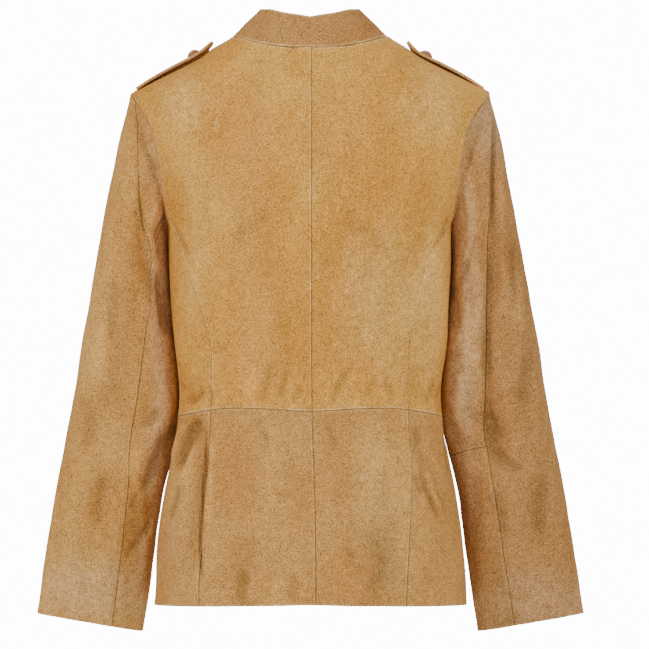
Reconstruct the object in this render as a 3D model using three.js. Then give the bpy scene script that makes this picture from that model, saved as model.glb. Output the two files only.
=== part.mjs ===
// A tailored suede jacket, hollow and filled out as if worn, in millimetres.
// +Z is up, the back of the jacket faces -Y and the wearer's right side is at +X.
// The origin is in the middle of the neck opening, level with the nape seam.
// Every cloth piece is a thin closed wall cut from one of three surfaces: torso, sleeve and collar.
import * as THREE from "three";

// Cloth and seams
const WALL = 2; // suede and the interfacing behind it
const COLLAR_WALL = 2.6; // two plies of suede
const SEAM_GAP = 0.3; // clear space between two pieces at a seam
const DEGREE = Math.PI / 180;

// Heights and places of the seams
const SIDE_NECK = { x: 86, z: 15 };
const FRONT_NECK_Z = -62;
const SHOULDER_TIP_Z = -49;
const ARMPIT_Z = -196;
const NAPE_Z = 0;
const NECK_DIP_POWER = 2.5; // how flat the back neckline stays before it climbs to the side of the neck

// Torso sections from the hem up: half width, depth to the back and to the front, and squareness.
const TORSO = [
  { z: -640, half: 176.5, back: 115, front: 112, square: 2.3 },
  { z: -616, half: 175, back: 115, front: 112, square: 2.3 },
  { z: -560, half: 171.5, back: 113, front: 110, square: 2.3 },
  { z: -504, half: 164.5, back: 106, front: 107, square: 2.25 },
  { z: -460, half: 156.5, back: 95, front: 103, square: 2.2 },
  { z: -430, half: 150.5, back: 87, front: 100, square: 2.2 },
  { z: -403, half: 147, back: 82.5, front: 98, square: 2.2 },
  { z: -385, half: 146, back: 82, front: 99, square: 2.2 },
  { z: -325, half: 152.5, back: 89, front: 110, square: 2.2 },
  { z: -269, half: 156.5, back: 99, front: 123, square: 2.2 },
  { z: -235, half: 158, back: 104, front: 127, square: 2.25 },
  { z: -196, half: 158.5, back: 108, front: 122, square: 2.3 },
  { z: -178, half: 166, back: 108, front: 117, square: 2.25 },
  { z: -165, half: 173, back: 108, front: 113, square: 2.2 },
  { z: -136, half: 186, back: 106, front: 103, square: 2.2 },
  { z: -115, half: 193.5, back: 102, front: 95, square: 2.2 },
  { z: -95, half: 198, back: 98, front: 87, square: 2.2 },
  { z: -68, half: 202, back: 91, front: 76, square: 2.2 },
  { z: -49, half: 200.5, back: 85, front: 68, square: 2.2 },
  { z: -46, half: 196.5, back: 84, front: 67, square: 2.2 },
  { z: -41.5, half: 188, back: 82.5, front: 65.5, square: 2.2 },
  { z: -33.5, half: 172, back: 79, front: 62, square: 2.2 },
  { z: -22.5, half: 149, back: 74, front: 57, square: 2.2 },
  { z: -8.5, half: 122, back: 66, front: 50, square: 2.2 },
  { z: 1.5, half: 108, back: 61, front: 46, square: 2.2 },
  { z: 6.5, half: 99.5, back: 58, front: 44, square: 2.2 },
  { z: 10.5, half: 92.5, back: 56, front: 42, square: 2.2 },
  { z: 15, half: 86, back: 54, front: 40, square: 2.2 },
  { z: 26, half: 70, back: 48, front: 34, square: 2.2 },
];

// The waist seam: its height round the body, from the centre back (0) to the centre front (180).
const WAIST_SEAM = [
  { angle: 0, z: -404 },
  { angle: 50, z: -400 },
  { angle: 90, z: -410 },
  { angle: 130, z: -403 },
  { angle: 200, z: -404 },
];

// The hem hangs a little lower at the front.
const HEM = [
  { angle: 0, z: -616 },
  { angle: 90, z: -621 },
  { angle: 180, z: -628 },
];

// The seams that run down the back: the centre one, and the side-back one on the right and the left.
const BACK_SEAMS = [
  { z: -616, centre: 6.5, right: 107, left: 122 },
  { z: -560, centre: 6.5, right: 109, left: 121 },
  { z: -480, centre: 5, right: 112, left: 116 },
  { z: -403, centre: 2.5, right: 109.5, left: 109.5 },
  { z: -339, centre: 2, right: 109, left: 109 },
  { z: -300, centre: 2, right: 117, left: 117 },
  { z: -257, centre: 2, right: 131, left: 131 },
  { z: -216, centre: 2, right: 146, left: 146 },
  { z: -188, centre: 2, right: 156.5, left: 156.5 },
];

// The seam between side and front, hidden from behind: its angle round the body.
const SIDE_FRONT_SEAM = [
  { z: -616, angle: 124 },
  { z: -403, angle: 127 },
  { z: -300, angle: 122 },
  { z: -184, angle: 101 },
];

// Where those two seams cross the waist, as angles round the body.
const SIDE_BACK_TURN = 50;
const SIDE_FRONT_TURN = 127;

// Armhole: a loop from the shoulder tip (0) down the back (90) to the armpit (180) and up the front (270).
const ARMHOLE_SWING = 18.5; // degrees that the loop reaches to the back and to the front of the side line
const CAP_POWER = 1.2; // how slowly the upper half of the loop leaves the shoulder tip
const LOOP_ANGLES = [
  0, 15, 30, 45, 60, 80, 104, 128, 152, 167, 182, 197, 212, 226, 240, 255, 270, 285, 300, 315, 330, 345, 360,
];
const SIDE_BACK_JOINT = 152; // loop angle where the side-back seam meets the armhole
const SIDE_FRONT_JOINT = 212;

// Sleeve sections: height and place of the outer edge, of the inner edge, half depth and squareness.
const SLEEVE = [
  { outZ: -49, outX: 200.5, outY: 0, inX: 158.5, inZ: -196, inY: 0, depth: 61, square: 2 },
  { outZ: -69, outX: 206, outY: 0, inX: 159.3, inZ: -203, inY: 18, depth: 63, square: 2 },
  { outZ: -95, outX: 212.5, outY: 0, inX: 158.0, inZ: -213, inY: 29, depth: 66, square: 2.05 },
  { outZ: -130, outX: 219.5, outY: 1, inX: 156.7, inZ: -226, inY: 36.5, depth: 67, square: 2.1 },
  { outZ: -168, outX: 226.7, outY: 2, inX: 155.7, inZ: -243, inY: 39, depth: 66, square: 2.2 },
  { outZ: -205, outX: 233.5, outY: 4, inX: 155.2, inZ: -265, inY: 39, depth: 64, square: 2.4 },
  { outZ: -248, outX: 241.5, outY: 6, inX: 153.9, inZ: -292, inY: 38, depth: 61, square: 2.55 },
  { outZ: -300, outX: 250, outY: 8, inX: 150.8, inZ: -327, inY: 34, depth: 55, square: 2.65 },
  { outZ: -335, outX: 256.5, outY: 10, inX: 147, inZ: -360, inY: 34, depth: 51, square: 2.7 },
  { outZ: -373, outX: 262.5, outY: 13, inX: 145, inZ: -395, inY: 34, depth: 48, square: 2.7 },
  { outZ: -410, outX: 269.5, outY: 16, inX: 149.5, inZ: -430, inY: 34, depth: 45, square: 2.7 },
  { outZ: -446, outX: 276.5, outY: 20, inX: 159, inZ: -465, inY: 34, depth: 42, square: 2.7 },
  { outZ: -486, outX: 284, outY: 25, inX: 168, inZ: -505, inY: 35, depth: 38, square: 2.7 },
  { outZ: -549, outX: 295, outY: 33, inX: 176, inZ: -567, inY: 38, depth: 31, square: 2.6 },
  { outZ: -594, outX: 302.5, outY: 39, inX: 182.5, inZ: -612, inY: 42, depth: 26.5, square: 2.5 },
  { outZ: -633, outX: 308, outY: 44, inX: 189, inZ: -653, inY: 45, depth: 23, square: 2.4 },
];
const CAP_LENGTH = 120; // height over which the sleeve leaves the shape of the armhole
const CUFF_Z = -633;
const PIECING_Z = -431; // elbow seam across the right under sleeve
const PIECING_DROP = 12; // how much lower that seam is at the front than at the back

// The seam down the back of each sleeve, as an angle round the sleeve, and the hidden one at its inner front.
const SLEEVE_SEAMS = [
  { outZ: -49, right: 15, left: 30, front: 240 },
  { outZ: -69, right: 25.5, left: 43.5, front: 240 },
  { outZ: -95, right: 38.5, left: 58, front: 240 },
  { outZ: -130, right: 59.5, left: 81.5, front: 239 },
  { outZ: -168, right: 78, left: 109, front: 238 },
  { outZ: -205, right: 85.8, left: 116, front: 237 },
  { outZ: -248, right: 91.8, left: 114.5, front: 236 },
  { outZ: -300, right: 95.5, left: 109, front: 235 },
  { outZ: -373, right: 98.5, left: 101, front: 235 },
  { outZ: -410, right: 104.8, left: 100.5, front: 235 },
  { outZ: -486, right: 108.5, left: 111, front: 235 },
  { outZ: -633, right: 107.5, left: 114.5, front: 235 },
];

// Collar: how far its top edge leans in over its foot, and rises above it, from centre back to centre front.
const COLLAR_STAND = [
  { angle: 0, lean: 12, rise: 35.5 },
  { angle: 20, lean: 14, rise: 38 },
  { angle: 45, lean: 20, rise: 38.7 },
  { angle: 70, lean: 28, rise: 33 },
  { angle: 90, lean: 31.5, rise: 29.8 },
  { angle: 135, lean: 22, rise: 33 },
  { angle: 180, lean: 12, rise: 35 },
];
const COLLAR_MEET = 1; // half the gap between the collar's ends at the front

// Front opening: the wearer's right front lies over the left one.
const LAP = 15; // reach of each front past the centre line
const LAP_LIFT = WALL + 0.8; // how far the upper front stands off
const LAP_FADE = { from: 32, to: 62 }; // distance from the centre over which it comes back down

// Shoulder straps and buttons
const STRAP = { neckX: 105, tipX: 193.5, rows: 9, columns: 4 };
const STRAP_WIDTHS = [
  { x: 105, half: 3.5 },
  { x: 108, half: 9.5 },
  { x: 114, half: 14.5 },
  { x: 123, half: 16.5 },
  { x: 193.5, half: 18.3 },
];
const STRAP_FORWARD = 3; // the strap's middle lies this far in front of the shoulder line
const STRAP_LIFTS = [
  { x: 105, right: 5, left: 4.5, thick: 3.2 },
  { x: 116, right: 2.6, left: 3.8, thick: 3.2 },
  { x: 150, right: 3.2, left: 3, thick: 3.2 },
  { x: 174, right: 2, left: 1.6, thick: 3 },
  { x: 193.5, right: 0, left: 0, thick: 2.2 },
];
const BUTTON = { radius: 7.5, rim: 1.6, height: 5.2, sides: 14 };
const STRAP_BUTTON_X = 127;
const FRONT_BUTTONS = { count: 7, topZ: -82, pitch: 78 };

// The largest folds of the torso: a line from start to end as seen from the back or the front.
// depth is negative for a trough and positive for a ridge; open folds run out over the hem.
const TORSO_FOLDS = [
  { side: "back", x: -117, z: -407, toX: -153, toZ: -478, width: 12, depth: -6.5 },
  { side: "back", x: -116, z: -425, toX: -128, toZ: -605, width: 9, depth: -5 },
  { side: "back", x: -100, z: -440, toX: -108, toZ: -600, width: 11, depth: 2 },
  { side: "back", x: 113, z: -407, toX: 147, toZ: -532, width: 11, depth: -4.5 },
  { side: "back", x: 137, z: -455, toX: 157, toZ: -530, width: 8, depth: -2.5 },
  { side: "back", x: 74, z: -520, toX: 77, toZ: -616, width: 18, depth: -5, open: true },
  { side: "back", x: 40, z: -530, toX: 38, toZ: -616, width: 18, depth: 2.5, open: true },
  { side: "back", x: -70, z: -535, toX: -74, toZ: -616, width: 20, depth: -4, open: true },
  { side: "back", x: -30, z: -540, toX: -34, toZ: -616, width: 18, depth: 2, open: true },
  { side: "back", x: -140, z: -398, toX: -108, toZ: -366, width: 11, depth: -3 },
  { side: "back", x: -45, z: -398, toX: -26, toZ: -345, width: 12, depth: -2 },
  { side: "back", x: 126, z: -396, toX: 118, toZ: -350, width: 10, depth: -2.5 },
  { side: "front", x: 96, z: -520, toX: 102, toZ: -616, width: 17, depth: -4, open: true },
  { side: "front", x: -88, z: -500, toX: -94, toZ: -616, width: 17, depth: -4, open: true },
  { side: "front", x: 118, z: -408, toX: 138, toZ: -500, width: 12, depth: -4 },
  { side: "front", x: -120, z: -408, toX: -136, toZ: -490, width: 12, depth: -4 },
  { side: "front", x: 112, z: -398, toX: 84, toZ: -320, width: 13, depth: -3 },
  { side: "front", x: -110, z: -398, toX: -80, toZ: -330, width: 13, depth: -3 },
];

// The largest folds of the sleeves: a line from one angle and height to another.
const SLEEVE_FOLDS = {
  right: [
    { angle: 44, z: -95, toAngle: 92, toZ: -290, width: 9, depth: -4.5 },
    { angle: 92, z: -270, toAngle: 100, toZ: -480, width: 9, depth: -3.5 },
    { angle: 70, z: -95, toAngle: 112, toZ: -330, width: 11, depth: 2.5 },
    { angle: 150, z: -190, toAngle: 135, toZ: -300, width: 10, depth: -3 },
    { angle: 145, z: -395, toAngle: 112, toZ: -450, width: 11, depth: -3 },
    { angle: 40, z: -430, toAngle: 75, toZ: -560, width: 13, depth: -2 },
    { angle: 265, z: -330, toAngle: 215, toZ: -400, width: 13, depth: -4 },
    { angle: 285, z: -370, toAngle: 225, toZ: -440, width: 12, depth: -3.5 },
    { angle: 300, z: -120, toAngle: 270, toZ: -240, width: 13, depth: -3 },
  ],
  left: [
    { angle: 80, z: -112, toAngle: 118, toZ: -240, width: 10, depth: -4 },
    { angle: 128, z: -180, toAngle: 150, toZ: -300, width: 10, depth: -4 },
    { angle: 100, z: -130, toAngle: 135, toZ: -235, width: 10, depth: 2 },
    { angle: 160, z: -385, toAngle: 132, toZ: -470, width: 12, depth: -4 },
    { angle: 158, z: -480, toAngle: 110, toZ: -545, width: 12, depth: -3 },
    { angle: 70, z: -290, toAngle: 82, toZ: -420, width: 12, depth: -2 },
    { angle: 265, z: -340, toAngle: 215, toZ: -410, width: 13, depth: -4 },
    { angle: 290, z: -365, toAngle: 230, toZ: -445, width: 12, depth: -3.5 },
    { angle: 295, z: -110, toAngle: 265, toZ: -230, width: 13, depth: -3 },
  ],
};
const TORSO_CHART = 140; // millimetres of cloth for each radian round the torso, where folds are measured
const SLEEVE_CHART = 52; // the same round a sleeve
const FOLD_START = 30; // height below the shoulder tip over which the sleeve's folds set in
const FOLD_FADE = 0.3; // share of a fold's length over which it dies away at an end

const SUEDE = new THREE.MeshStandardMaterial({ color: 0xc4945e, roughness: 0.95, metalness: 0 });
const COLLAR_SUEDE = new THREE.MeshStandardMaterial({ color: 0xb58a61, roughness: 0.95, metalness: 0 });
const BUTTON_SHELL = new THREE.MeshStandardMaterial({ color: 0xb97f57, roughness: 0.6, metalness: 0 });

const HALVINGS = 40; // steps of a search by halves

const smooth = (t) => {
  const s = Math.min(1, Math.max(0, t));
  return s * s * (3 - 2 * s);
};
const mix = (a, b, t) => a + (b - a) * t;
const steps = (from, to, count) => Array.from({ length: count + 1 }, (_, i) => mix(from, to, i / count));

// Reads one column of a table at a value of its key column, on a smooth curve that never overshoots its rows.
function read(table, key, column, at) {
  const rows = [...table].sort((a, b) => a[key] - b[key]);
  const last = rows.length - 1;
  if (at <= rows[0][key]) return rows[0][column];
  if (at >= rows[last][key]) return rows[last][column];
  const i = rows.findIndex((row, n) => n < last && at <= rows[n + 1][key]);
  const rise = (n) => (rows[n + 1][column] - rows[n][column]) / (rows[n + 1][key] - rows[n][key]);
  const slope = (n) => {
    if (n === 0) return rise(0);
    if (n === last) return rise(last - 1);
    const before = rise(n - 1);
    const after = rise(n);
    return before * after > 0 ? (2 * before * after) / (before + after) : 0;
  };
  const span = rows[i + 1][key] - rows[i][key];
  const t = (at - rows[i][key]) / span;
  return (
    (1 + 2 * t) * (1 - t) ** 2 * rows[i][column] +
    t * t * (3 - 2 * t) * rows[i + 1][column] +
    t * (1 - t) ** 2 * span * slope(i) -
    t * t * (1 - t) * span * slope(i + 1)
  );
}

// How far a point of the cloth is pushed in or out by a list of folds drawn as lines on the flat chart.
function foldDepth(folds, u, v) {
  let sum = 0;
  for (const fold of folds) {
    const du = fold.toU - fold.u;
    const dv = fold.toV - fold.v;
    const length = Math.hypot(du, dv);
    const t = ((u - fold.u) * du + (v - fold.v) * dv) / length ** 2;
    const off = ((u - fold.u) * dv - (v - fold.v) * du) / length;
    const end = fold.open ? 1 : smooth((1 - t) / FOLD_FADE);
    sum += fold.depth * Math.exp(-((off / fold.width) ** 2)) * smooth(t / FOLD_FADE) * end;
  }
  return sum;
}

// Torso surface: angle 0 is the centre back, 90 the wearer's right side, 180 the centre front.
function torsoBase(angle, z) {
  const turn = angle * DEGREE;
  const half = read(TORSO, "z", "half", z);
  const deep = read(TORSO, "z", Math.cos(turn) > 0 ? "back" : "front", z);
  const square = read(TORSO, "z", "square", z);
  const across = Math.abs(Math.sin(turn) / half) ** square;
  const through = Math.abs(Math.cos(turn) / deep) ** square;
  const reach = (across + through) ** (-1 / square);
  return new THREE.Vector3(reach * Math.sin(turn), -reach * Math.cos(turn), z);
}

// The angle of the point of the torso that shows at x and z from the back, or from the front.
function torsoAngle(x, z, side = "back") {
  const half = read(TORSO, "z", "half", z);
  const deep = read(TORSO, "z", side, z);
  const square = read(TORSO, "z", "square", z);
  const y = deep * Math.max(0, 1 - Math.abs(x / half) ** square) ** (1 / square);
  return Math.atan2(x, side === "back" ? y : -y) / DEGREE;
}

function normalOf(surface, u, v, stepU, stepV) {
  const alongU = surface(u + stepU, v).sub(surface(u - stepU, v));
  const alongV = surface(u, v + stepV).sub(surface(u, v - stepV));
  return alongU.cross(alongV).normalize();
}

const torsoNormal = (angle, z) => {
  const normal = normalOf(torsoBase, angle, z, 0.5, 0.5);
  const out = torsoBase(angle, z).setZ(0);
  return normal.dot(out) < 0 ? normal.negate() : normal;
};

const torsoFolds = TORSO_FOLDS.map((fold) => {
  const start = torsoAngle(fold.x, fold.z, fold.side) * DEGREE * TORSO_CHART;
  const end = torsoAngle(fold.toX, fold.toZ, fold.side) * DEGREE * TORSO_CHART;
  return { ...fold, u: start, v: fold.z, toU: end, toV: fold.toZ };
});

// Angles run from -180 to 180 on the folds' chart, so a front that laps past the centre is brought back.
const chartAngle = (angle) => (angle > 180 ? angle - 360 : angle < -180 ? angle + 360 : angle);

// A point of cloth pushed out from its surface: its outer side, and the inner side behind it.
const clothPair = (base, normal, push) => ({
  outer: base.clone().addScaledVector(normal, push),
  inner: base.clone().addScaledVector(normal, push - WALL),
});
function torsoPair(angle, z, lift = 0) {
  const push = foldDepth(torsoFolds, chartAngle(angle) * DEGREE * TORSO_CHART, z) + lift;
  return clothPair(torsoBase(angle, z), torsoNormal(angle, z), push);
}

// Armhole loop in the torso's own coordinates. side is 1 on the wearer's right and -1 on the left.
function loopPlace(side, loop) {
  const sin = Math.sin(loop * DEGREE);
  const cos = Math.cos(loop * DEGREE);
  const swing = Math.sign(sin) * Math.abs(sin) ** (cos > 0 ? CAP_POWER : 1);
  return {
    angle: side * (90 - ARMHOLE_SWING * swing),
    z: (SHOULDER_TIP_Z + ARMPIT_Z) / 2 + ((SHOULDER_TIP_Z - ARMPIT_Z) / 2) * cos,
  };
}
const loopPoint = (side, loop) => {
  const place = loopPlace(side, loop);
  return torsoBase(place.angle, place.z);
};

// Sleeve surface before its folds: a tilted ring that starts as the armhole loop.
// Angle 0 is its outer edge and 90 its back.
function sleeveRing(side, angle, z) {
  const get = (column) => read(SLEEVE, "outZ", column, z);
  const turn = angle * DEGREE;
  const square = get("square");
  const reach = (Math.abs(Math.cos(turn)) ** square + Math.abs(Math.sin(turn)) ** square) ** (-1 / square);
  const out = reach * Math.cos(turn);
  const middleX = (get("outX") + get("inX")) / 2;
  const middleY = (get("outY") + get("inY")) / 2;
  const middleZ = (z + get("inZ")) / 2;
  return new THREE.Vector3(
    side * (middleX + (out * (get("outX") - get("inX"))) / 2),
    middleY + (out * (get("outY") - get("inY"))) / 2 - reach * Math.sin(turn) * get("depth"),
    middleZ + (out * (z - get("inZ"))) / 2,
  );
}
function sleeveBase(side, angle, z) {
  const fade = 1 - smooth((SHOULDER_TIP_Z - z) / CAP_LENGTH);
  const point = sleeveRing(side, angle, z);
  if (fade === 0) return point;
  const toLoop = loopPoint(side, angle).sub(sleeveRing(side, angle, SHOULDER_TIP_Z));
  return point.addScaledVector(toLoop, fade);
}
const sleeveNormal = (side, angle, z) => {
  const at = Math.min(z, SHOULDER_TIP_Z - 1);
  const normal = normalOf((u, v) => sleeveBase(side, u, v), angle, at, 1, 1);
  return side > 0 ? normal.negate() : normal;
};
const sideName = (side) => (side > 0 ? "right" : "left");
const sleeveFolds = (side) =>
  SLEEVE_FOLDS[sideName(side)].map((fold) => ({
    ...fold,
    u: fold.angle * DEGREE * SLEEVE_CHART,
    v: fold.z,
    toU: fold.toAngle * DEGREE * SLEEVE_CHART,
    toV: fold.toZ,
  }));

// The armhole seam: shared points, the mitred way through both walls, and the way from body to sleeve.
const MITRE_LIMIT = 1.5; // longest way through a mitred wall, in wall thicknesses
const NEXT_RING = 12; // depth of the sleeve ring that shows which way the sleeve goes
function armholeSeam(side) {
  return LOOP_ANGLES.map((loop) => {
    const place = loopPlace(side, loop);
    const point = loopPoint(side, loop);
    const bodyNormal = torsoNormal(place.angle, place.z);
    const cuffNormal = sleeveNormal(side, loop, SHOULDER_TIP_Z);
    const half = bodyNormal.clone().add(cuffNormal).normalize();
    const through = half.clone().multiplyScalar(WALL * Math.min(MITRE_LIMIT, 1 / half.dot(bodyNormal)));
    const tangent = loopPoint(side, loop + 1).sub(loopPoint(side, loop - 1));
    const across = tangent.cross(half).normalize();
    const towardsSleeve = sleeveBase(side, loop, SHOULDER_TIP_Z - NEXT_RING).sub(point);
    if (across.dot(towardsSleeve) < 0) across.negate();
    return { loop, point, through, across };
  });
}
const armholes = { 1: armholeSeam(1), [-1]: armholeSeam(-1) };

// A point of the armhole seam on the straight lines between its shared points.
// share is -1 on the body and 1 on the sleeve.
function seamPair(side, loop, share) {
  const seam = armholes[side];
  const i = Math.min(seam.length - 2, Math.max(0, seam.findIndex((s) => s.loop > loop) - 1));
  const at = loop >= 360 ? seam.length - 2 : i;
  const t = (loop - seam[at].loop) / (seam[at + 1].loop - seam[at].loop);
  const blend = (key) => seam[at][key].clone().lerp(seam[at + 1][key], t);
  const outer = blend("point").addScaledVector(blend("across"), (share * SEAM_GAP) / 2);
  return { outer, inner: outer.clone().sub(blend("through")) };
}

// Fills a four-sided patch of the torso from its edges, each a list of places, with rows from bottom to top.
function patch(bottom, top, left, right) {
  const columns = bottom.length - 1;
  const rows = left.length - 1;
  return left.map((_, j) =>
    bottom.map((__, i) => {
      const u = i / columns;
      const v = j / rows;
      const blend = (key) =>
        mix(bottom[i][key], top[i][key], v) +
        mix(left[j][key], right[j][key], u) -
        mix(mix(bottom[0][key], bottom[columns][key], u), mix(top[0][key], top[columns][key], u), v);
      if (j === 0) return bottom[i];
      if (j === rows) return top[i];
      if (i === 0) return left[j];
      if (i === columns) return right[j];
      return { angle: blend("angle"), z: blend("z") };
    }),
  );
}

// Moves the chosen edges of a grid of pairs in by half the seam's gap, the right one up to a given row.
function pullIn(pairs, edges, rightRows = pairs.length - 1) {
  const rows = pairs.length - 1;
  const columns = pairs[0].length - 1;
  const moves = [];
  const plan = (j, i, nextJ, nextI) => {
    const way = pairs[nextJ][nextI].outer.clone().sub(pairs[j][i].outer).normalize();
    moves.push([pairs[j][i], way.multiplyScalar(SEAM_GAP / 2)]);
  };
  for (let i = 0; i <= columns; i++) {
    if (edges.includes("bottom")) plan(0, i, 1, i);
    if (edges.includes("top")) plan(rows, i, rows - 1, i);
  }
  for (let j = 0; j <= rows; j++) {
    if (edges.includes("left")) plan(j, 0, j, 1);
    if (edges.includes("right") && j <= rightRows) plan(j, columns, j, columns - 1);
  }
  for (const [pair, way] of moves) {
    pair.outer.add(way);
    pair.inner.add(way);
  }
  return pairs;
}

// A closed wall from a grid of pairs: the outer side, the inner side and the rim round both.
function wallMesh(name, pairs, material) {
  const rows = pairs.length;
  const columns = pairs[0].length;
  const flat = pairs.flat();
  const points = [...flat.map((p) => p.outer), ...flat.map((p) => p.inner)];
  const at = (j, i, inside) => j * columns + i + (inside ? flat.length : 0);
  const faces = [];
  // A bent four-sided face is split along its shorter diagonal, so that two pieces at a seam split alike.
  const isShort = (a, b, c, d) => points[a].distanceTo(points[c]) <= points[b].distanceTo(points[d]);
  const split = (a, b, c, d, short) => faces.push(...(short ? [a, b, c, a, c, d] : [b, c, d, b, d, a]));
  const quad = (a, b, c, d) => split(a, b, c, d, isShort(a, b, c, d));
  for (let j = 0; j < rows - 1; j++)
    for (let i = 0; i < columns - 1; i++) {
      const face = [at(j, i), at(j, i + 1), at(j + 1, i + 1), at(j + 1, i)];
      const behind = face.map((index) => index + flat.length);
      split(...face, isShort(...face));
      split(behind[0], behind[3], behind[2], behind[1], isShort(...face));
    }
  for (let i = 0; i < columns - 1; i++) {
    quad(at(0, i + 1), at(0, i), at(0, i, 1), at(0, i + 1, 1));
    quad(at(rows - 1, i), at(rows - 1, i + 1), at(rows - 1, i + 1, 1), at(rows - 1, i, 1));
  }
  for (let j = 0; j < rows - 1; j++) {
    quad(at(j, 0), at(j + 1, 0), at(j + 1, 0, 1), at(j, 0, 1));
    quad(at(j + 1, columns - 1), at(j, columns - 1), at(j, columns - 1, 1), at(j + 1, columns - 1, 1));
  }
  let volume = 0;
  for (let f = 0; f < faces.length; f += 3) {
    const [a, b, c] = [points[faces[f]], points[faces[f + 1]], points[faces[f + 2]]];
    volume += a.dot(b.clone().cross(c));
  }
  if (volume < 0) faces.reverse();
  const geometry = new THREE.BufferGeometry().setFromPoints(points);
  geometry.setIndex(faces);
  geometry.computeVertexNormals();
  const mesh = new THREE.Mesh(geometry, material);
  mesh.name = name;
  return mesh;
}

// Places along the body's seams, from the waist up unless said otherwise.
const waistZ = (angle) => read(WAIST_SEAM, "angle", "z", Math.abs(angle));
const sideBackAngle = (side, z) => side * torsoAngle(read(BACK_SEAMS, "z", sideName(side), z), z);
const centreBackAngle = (z) => torsoAngle(read(BACK_SEAMS, "z", "centre", z), z);
const sideFrontAngle = (side, z) => side * read(SIDE_FRONT_SEAM, "z", "angle", z);
const seamLine = (angleAt, fromZ, toZ, count) =>
  steps(fromZ, toZ, count).map((z) => ({ angle: angleAt(z), z }));
const hemZ = (angle) => read(HEM, "angle", "z", Math.abs(angle));
const waistLine = (from, to, count) => steps(from, to, count).map((angle) => ({ angle, z: waistZ(angle) }));
const loopLine = (side, from, to) => {
  const inside = LOOP_ANGLES.filter((loop) => loop >= Math.min(from, to) && loop <= Math.max(from, to));
  return (from < to ? inside : inside.reverse()).map((loop) => ({ ...loopPlace(side, loop), loop }));
};
const shoulderZ = (x) => {
  let low = SHOULDER_TIP_Z;
  let high = SIDE_NECK.z;
  for (let n = 0; n < HALVINGS; n++) {
    const middle = (low + high) / 2;
    if (read(TORSO, "z", "half", middle) > x) low = middle;
    else high = middle;
  }
  return (low + high) / 2;
};
const TIP_X = read(TORSO, "z", "half", SHOULDER_TIP_Z);
const shoulderLine = (side, count) =>
  steps(SIDE_NECK.x, TIP_X, count).map((x, i) => ({
    angle: side * 90,
    z: i === 0 ? SIDE_NECK.z : i === count ? SHOULDER_TIP_Z : shoulderZ(x),
  }));
const backNeckline = (side, count) =>
  steps(0, 1, count).map((t, i) => {
    const x = SIDE_NECK.x * Math.sin((t * Math.PI) / 2);
    const z = mix(NAPE_Z, SIDE_NECK.z, (x / SIDE_NECK.x) ** NECK_DIP_POWER);
    return { angle: i === count ? side * 90 : side * torsoAngle(x, z), z };
  });
const frontNeckline = (side, count) =>
  steps(0, 90, count).map((turn, i) => {
    const x = SIDE_NECK.x * Math.sin(turn * DEGREE);
    const z = mix(SIDE_NECK.z, FRONT_NECK_Z, Math.cos(turn * DEGREE));
    return { angle: i === count ? side * 90 : side * torsoAngle(x, z, "front"), z };
  });

// Counts of rows and columns, shared by the pieces that meet.
const NECK_BACK = 4;
const NECK_FRONT = 5;
const SHOULDER = 5;
const SEAM_ROWS = 11;
const SKIRT_ROWS = 11;
const SIDE_COLUMNS = 8;
const SKIRT_COLUMNS = 9;
const COLLAR_ROWS = 3;
const CENTRE_RISE = 18; // how much higher a row of the back panel is at the centre than at its side

// The pieces' places become pairs of points; those on the armhole come from its shared seam.
function torsoPairs(side, places, liftAt = () => 0) {
  return places.map((row) =>
    row.map((place) =>
      place.loop === undefined
        ? torsoPair(place.angle, place.z, liftAt(place))
        : seamPair(side, place.loop, -1),
    ),
  );
}

function bodyBack(side) {
  const joint = loopPlace(side, SIDE_BACK_JOINT);
  const foot = sideBackAngle(side, waistZ(SIDE_BACK_TURN));
  const seam = seamLine((z) => sideBackAngle(side, z), waistZ(foot), joint.z, SEAM_ROWS);
  const armhole = loopLine(side, SIDE_BACK_JOINT, 0);
  const right = [...seam.slice(0, -1), ...armhole];
  const centre = [
    ...seamLine(centreBackAngle, waistZ(0), joint.z + CENTRE_RISE, SEAM_ROWS).slice(0, -1),
    ...seamLine(centreBackAngle, joint.z + CENTRE_RISE, NAPE_Z, armhole.length - 1),
  ];
  const top = [...backNeckline(side, NECK_BACK).slice(0, -1), ...shoulderLine(side, SHOULDER)];
  top[top.length - 1] = armhole[armhole.length - 1];
  const bottom = waistLine(0, foot, top.length - 1);
  const pairs = torsoPairs(side, patch(bottom, top, centre, right));
  const seated = pullIn(pairs, ["bottom", "top", "left", "right"], SEAM_ROWS);
  return wallMesh("back_" + sideName(side), seated, SUEDE);
}

// The upper front's extra height over the lap, by distance from the centre line.
const lapLift = (side) => (place) => {
  if (side < 0) return 0;
  const x = torsoBase(place.angle, place.z).x;
  return LAP_LIFT * (1 - smooth((x - LAP_FADE.from) / (LAP_FADE.to - LAP_FADE.from)));
};
const lapAngle = (side, z) => side * (360 - torsoAngle(LAP, z, "front"));

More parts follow.
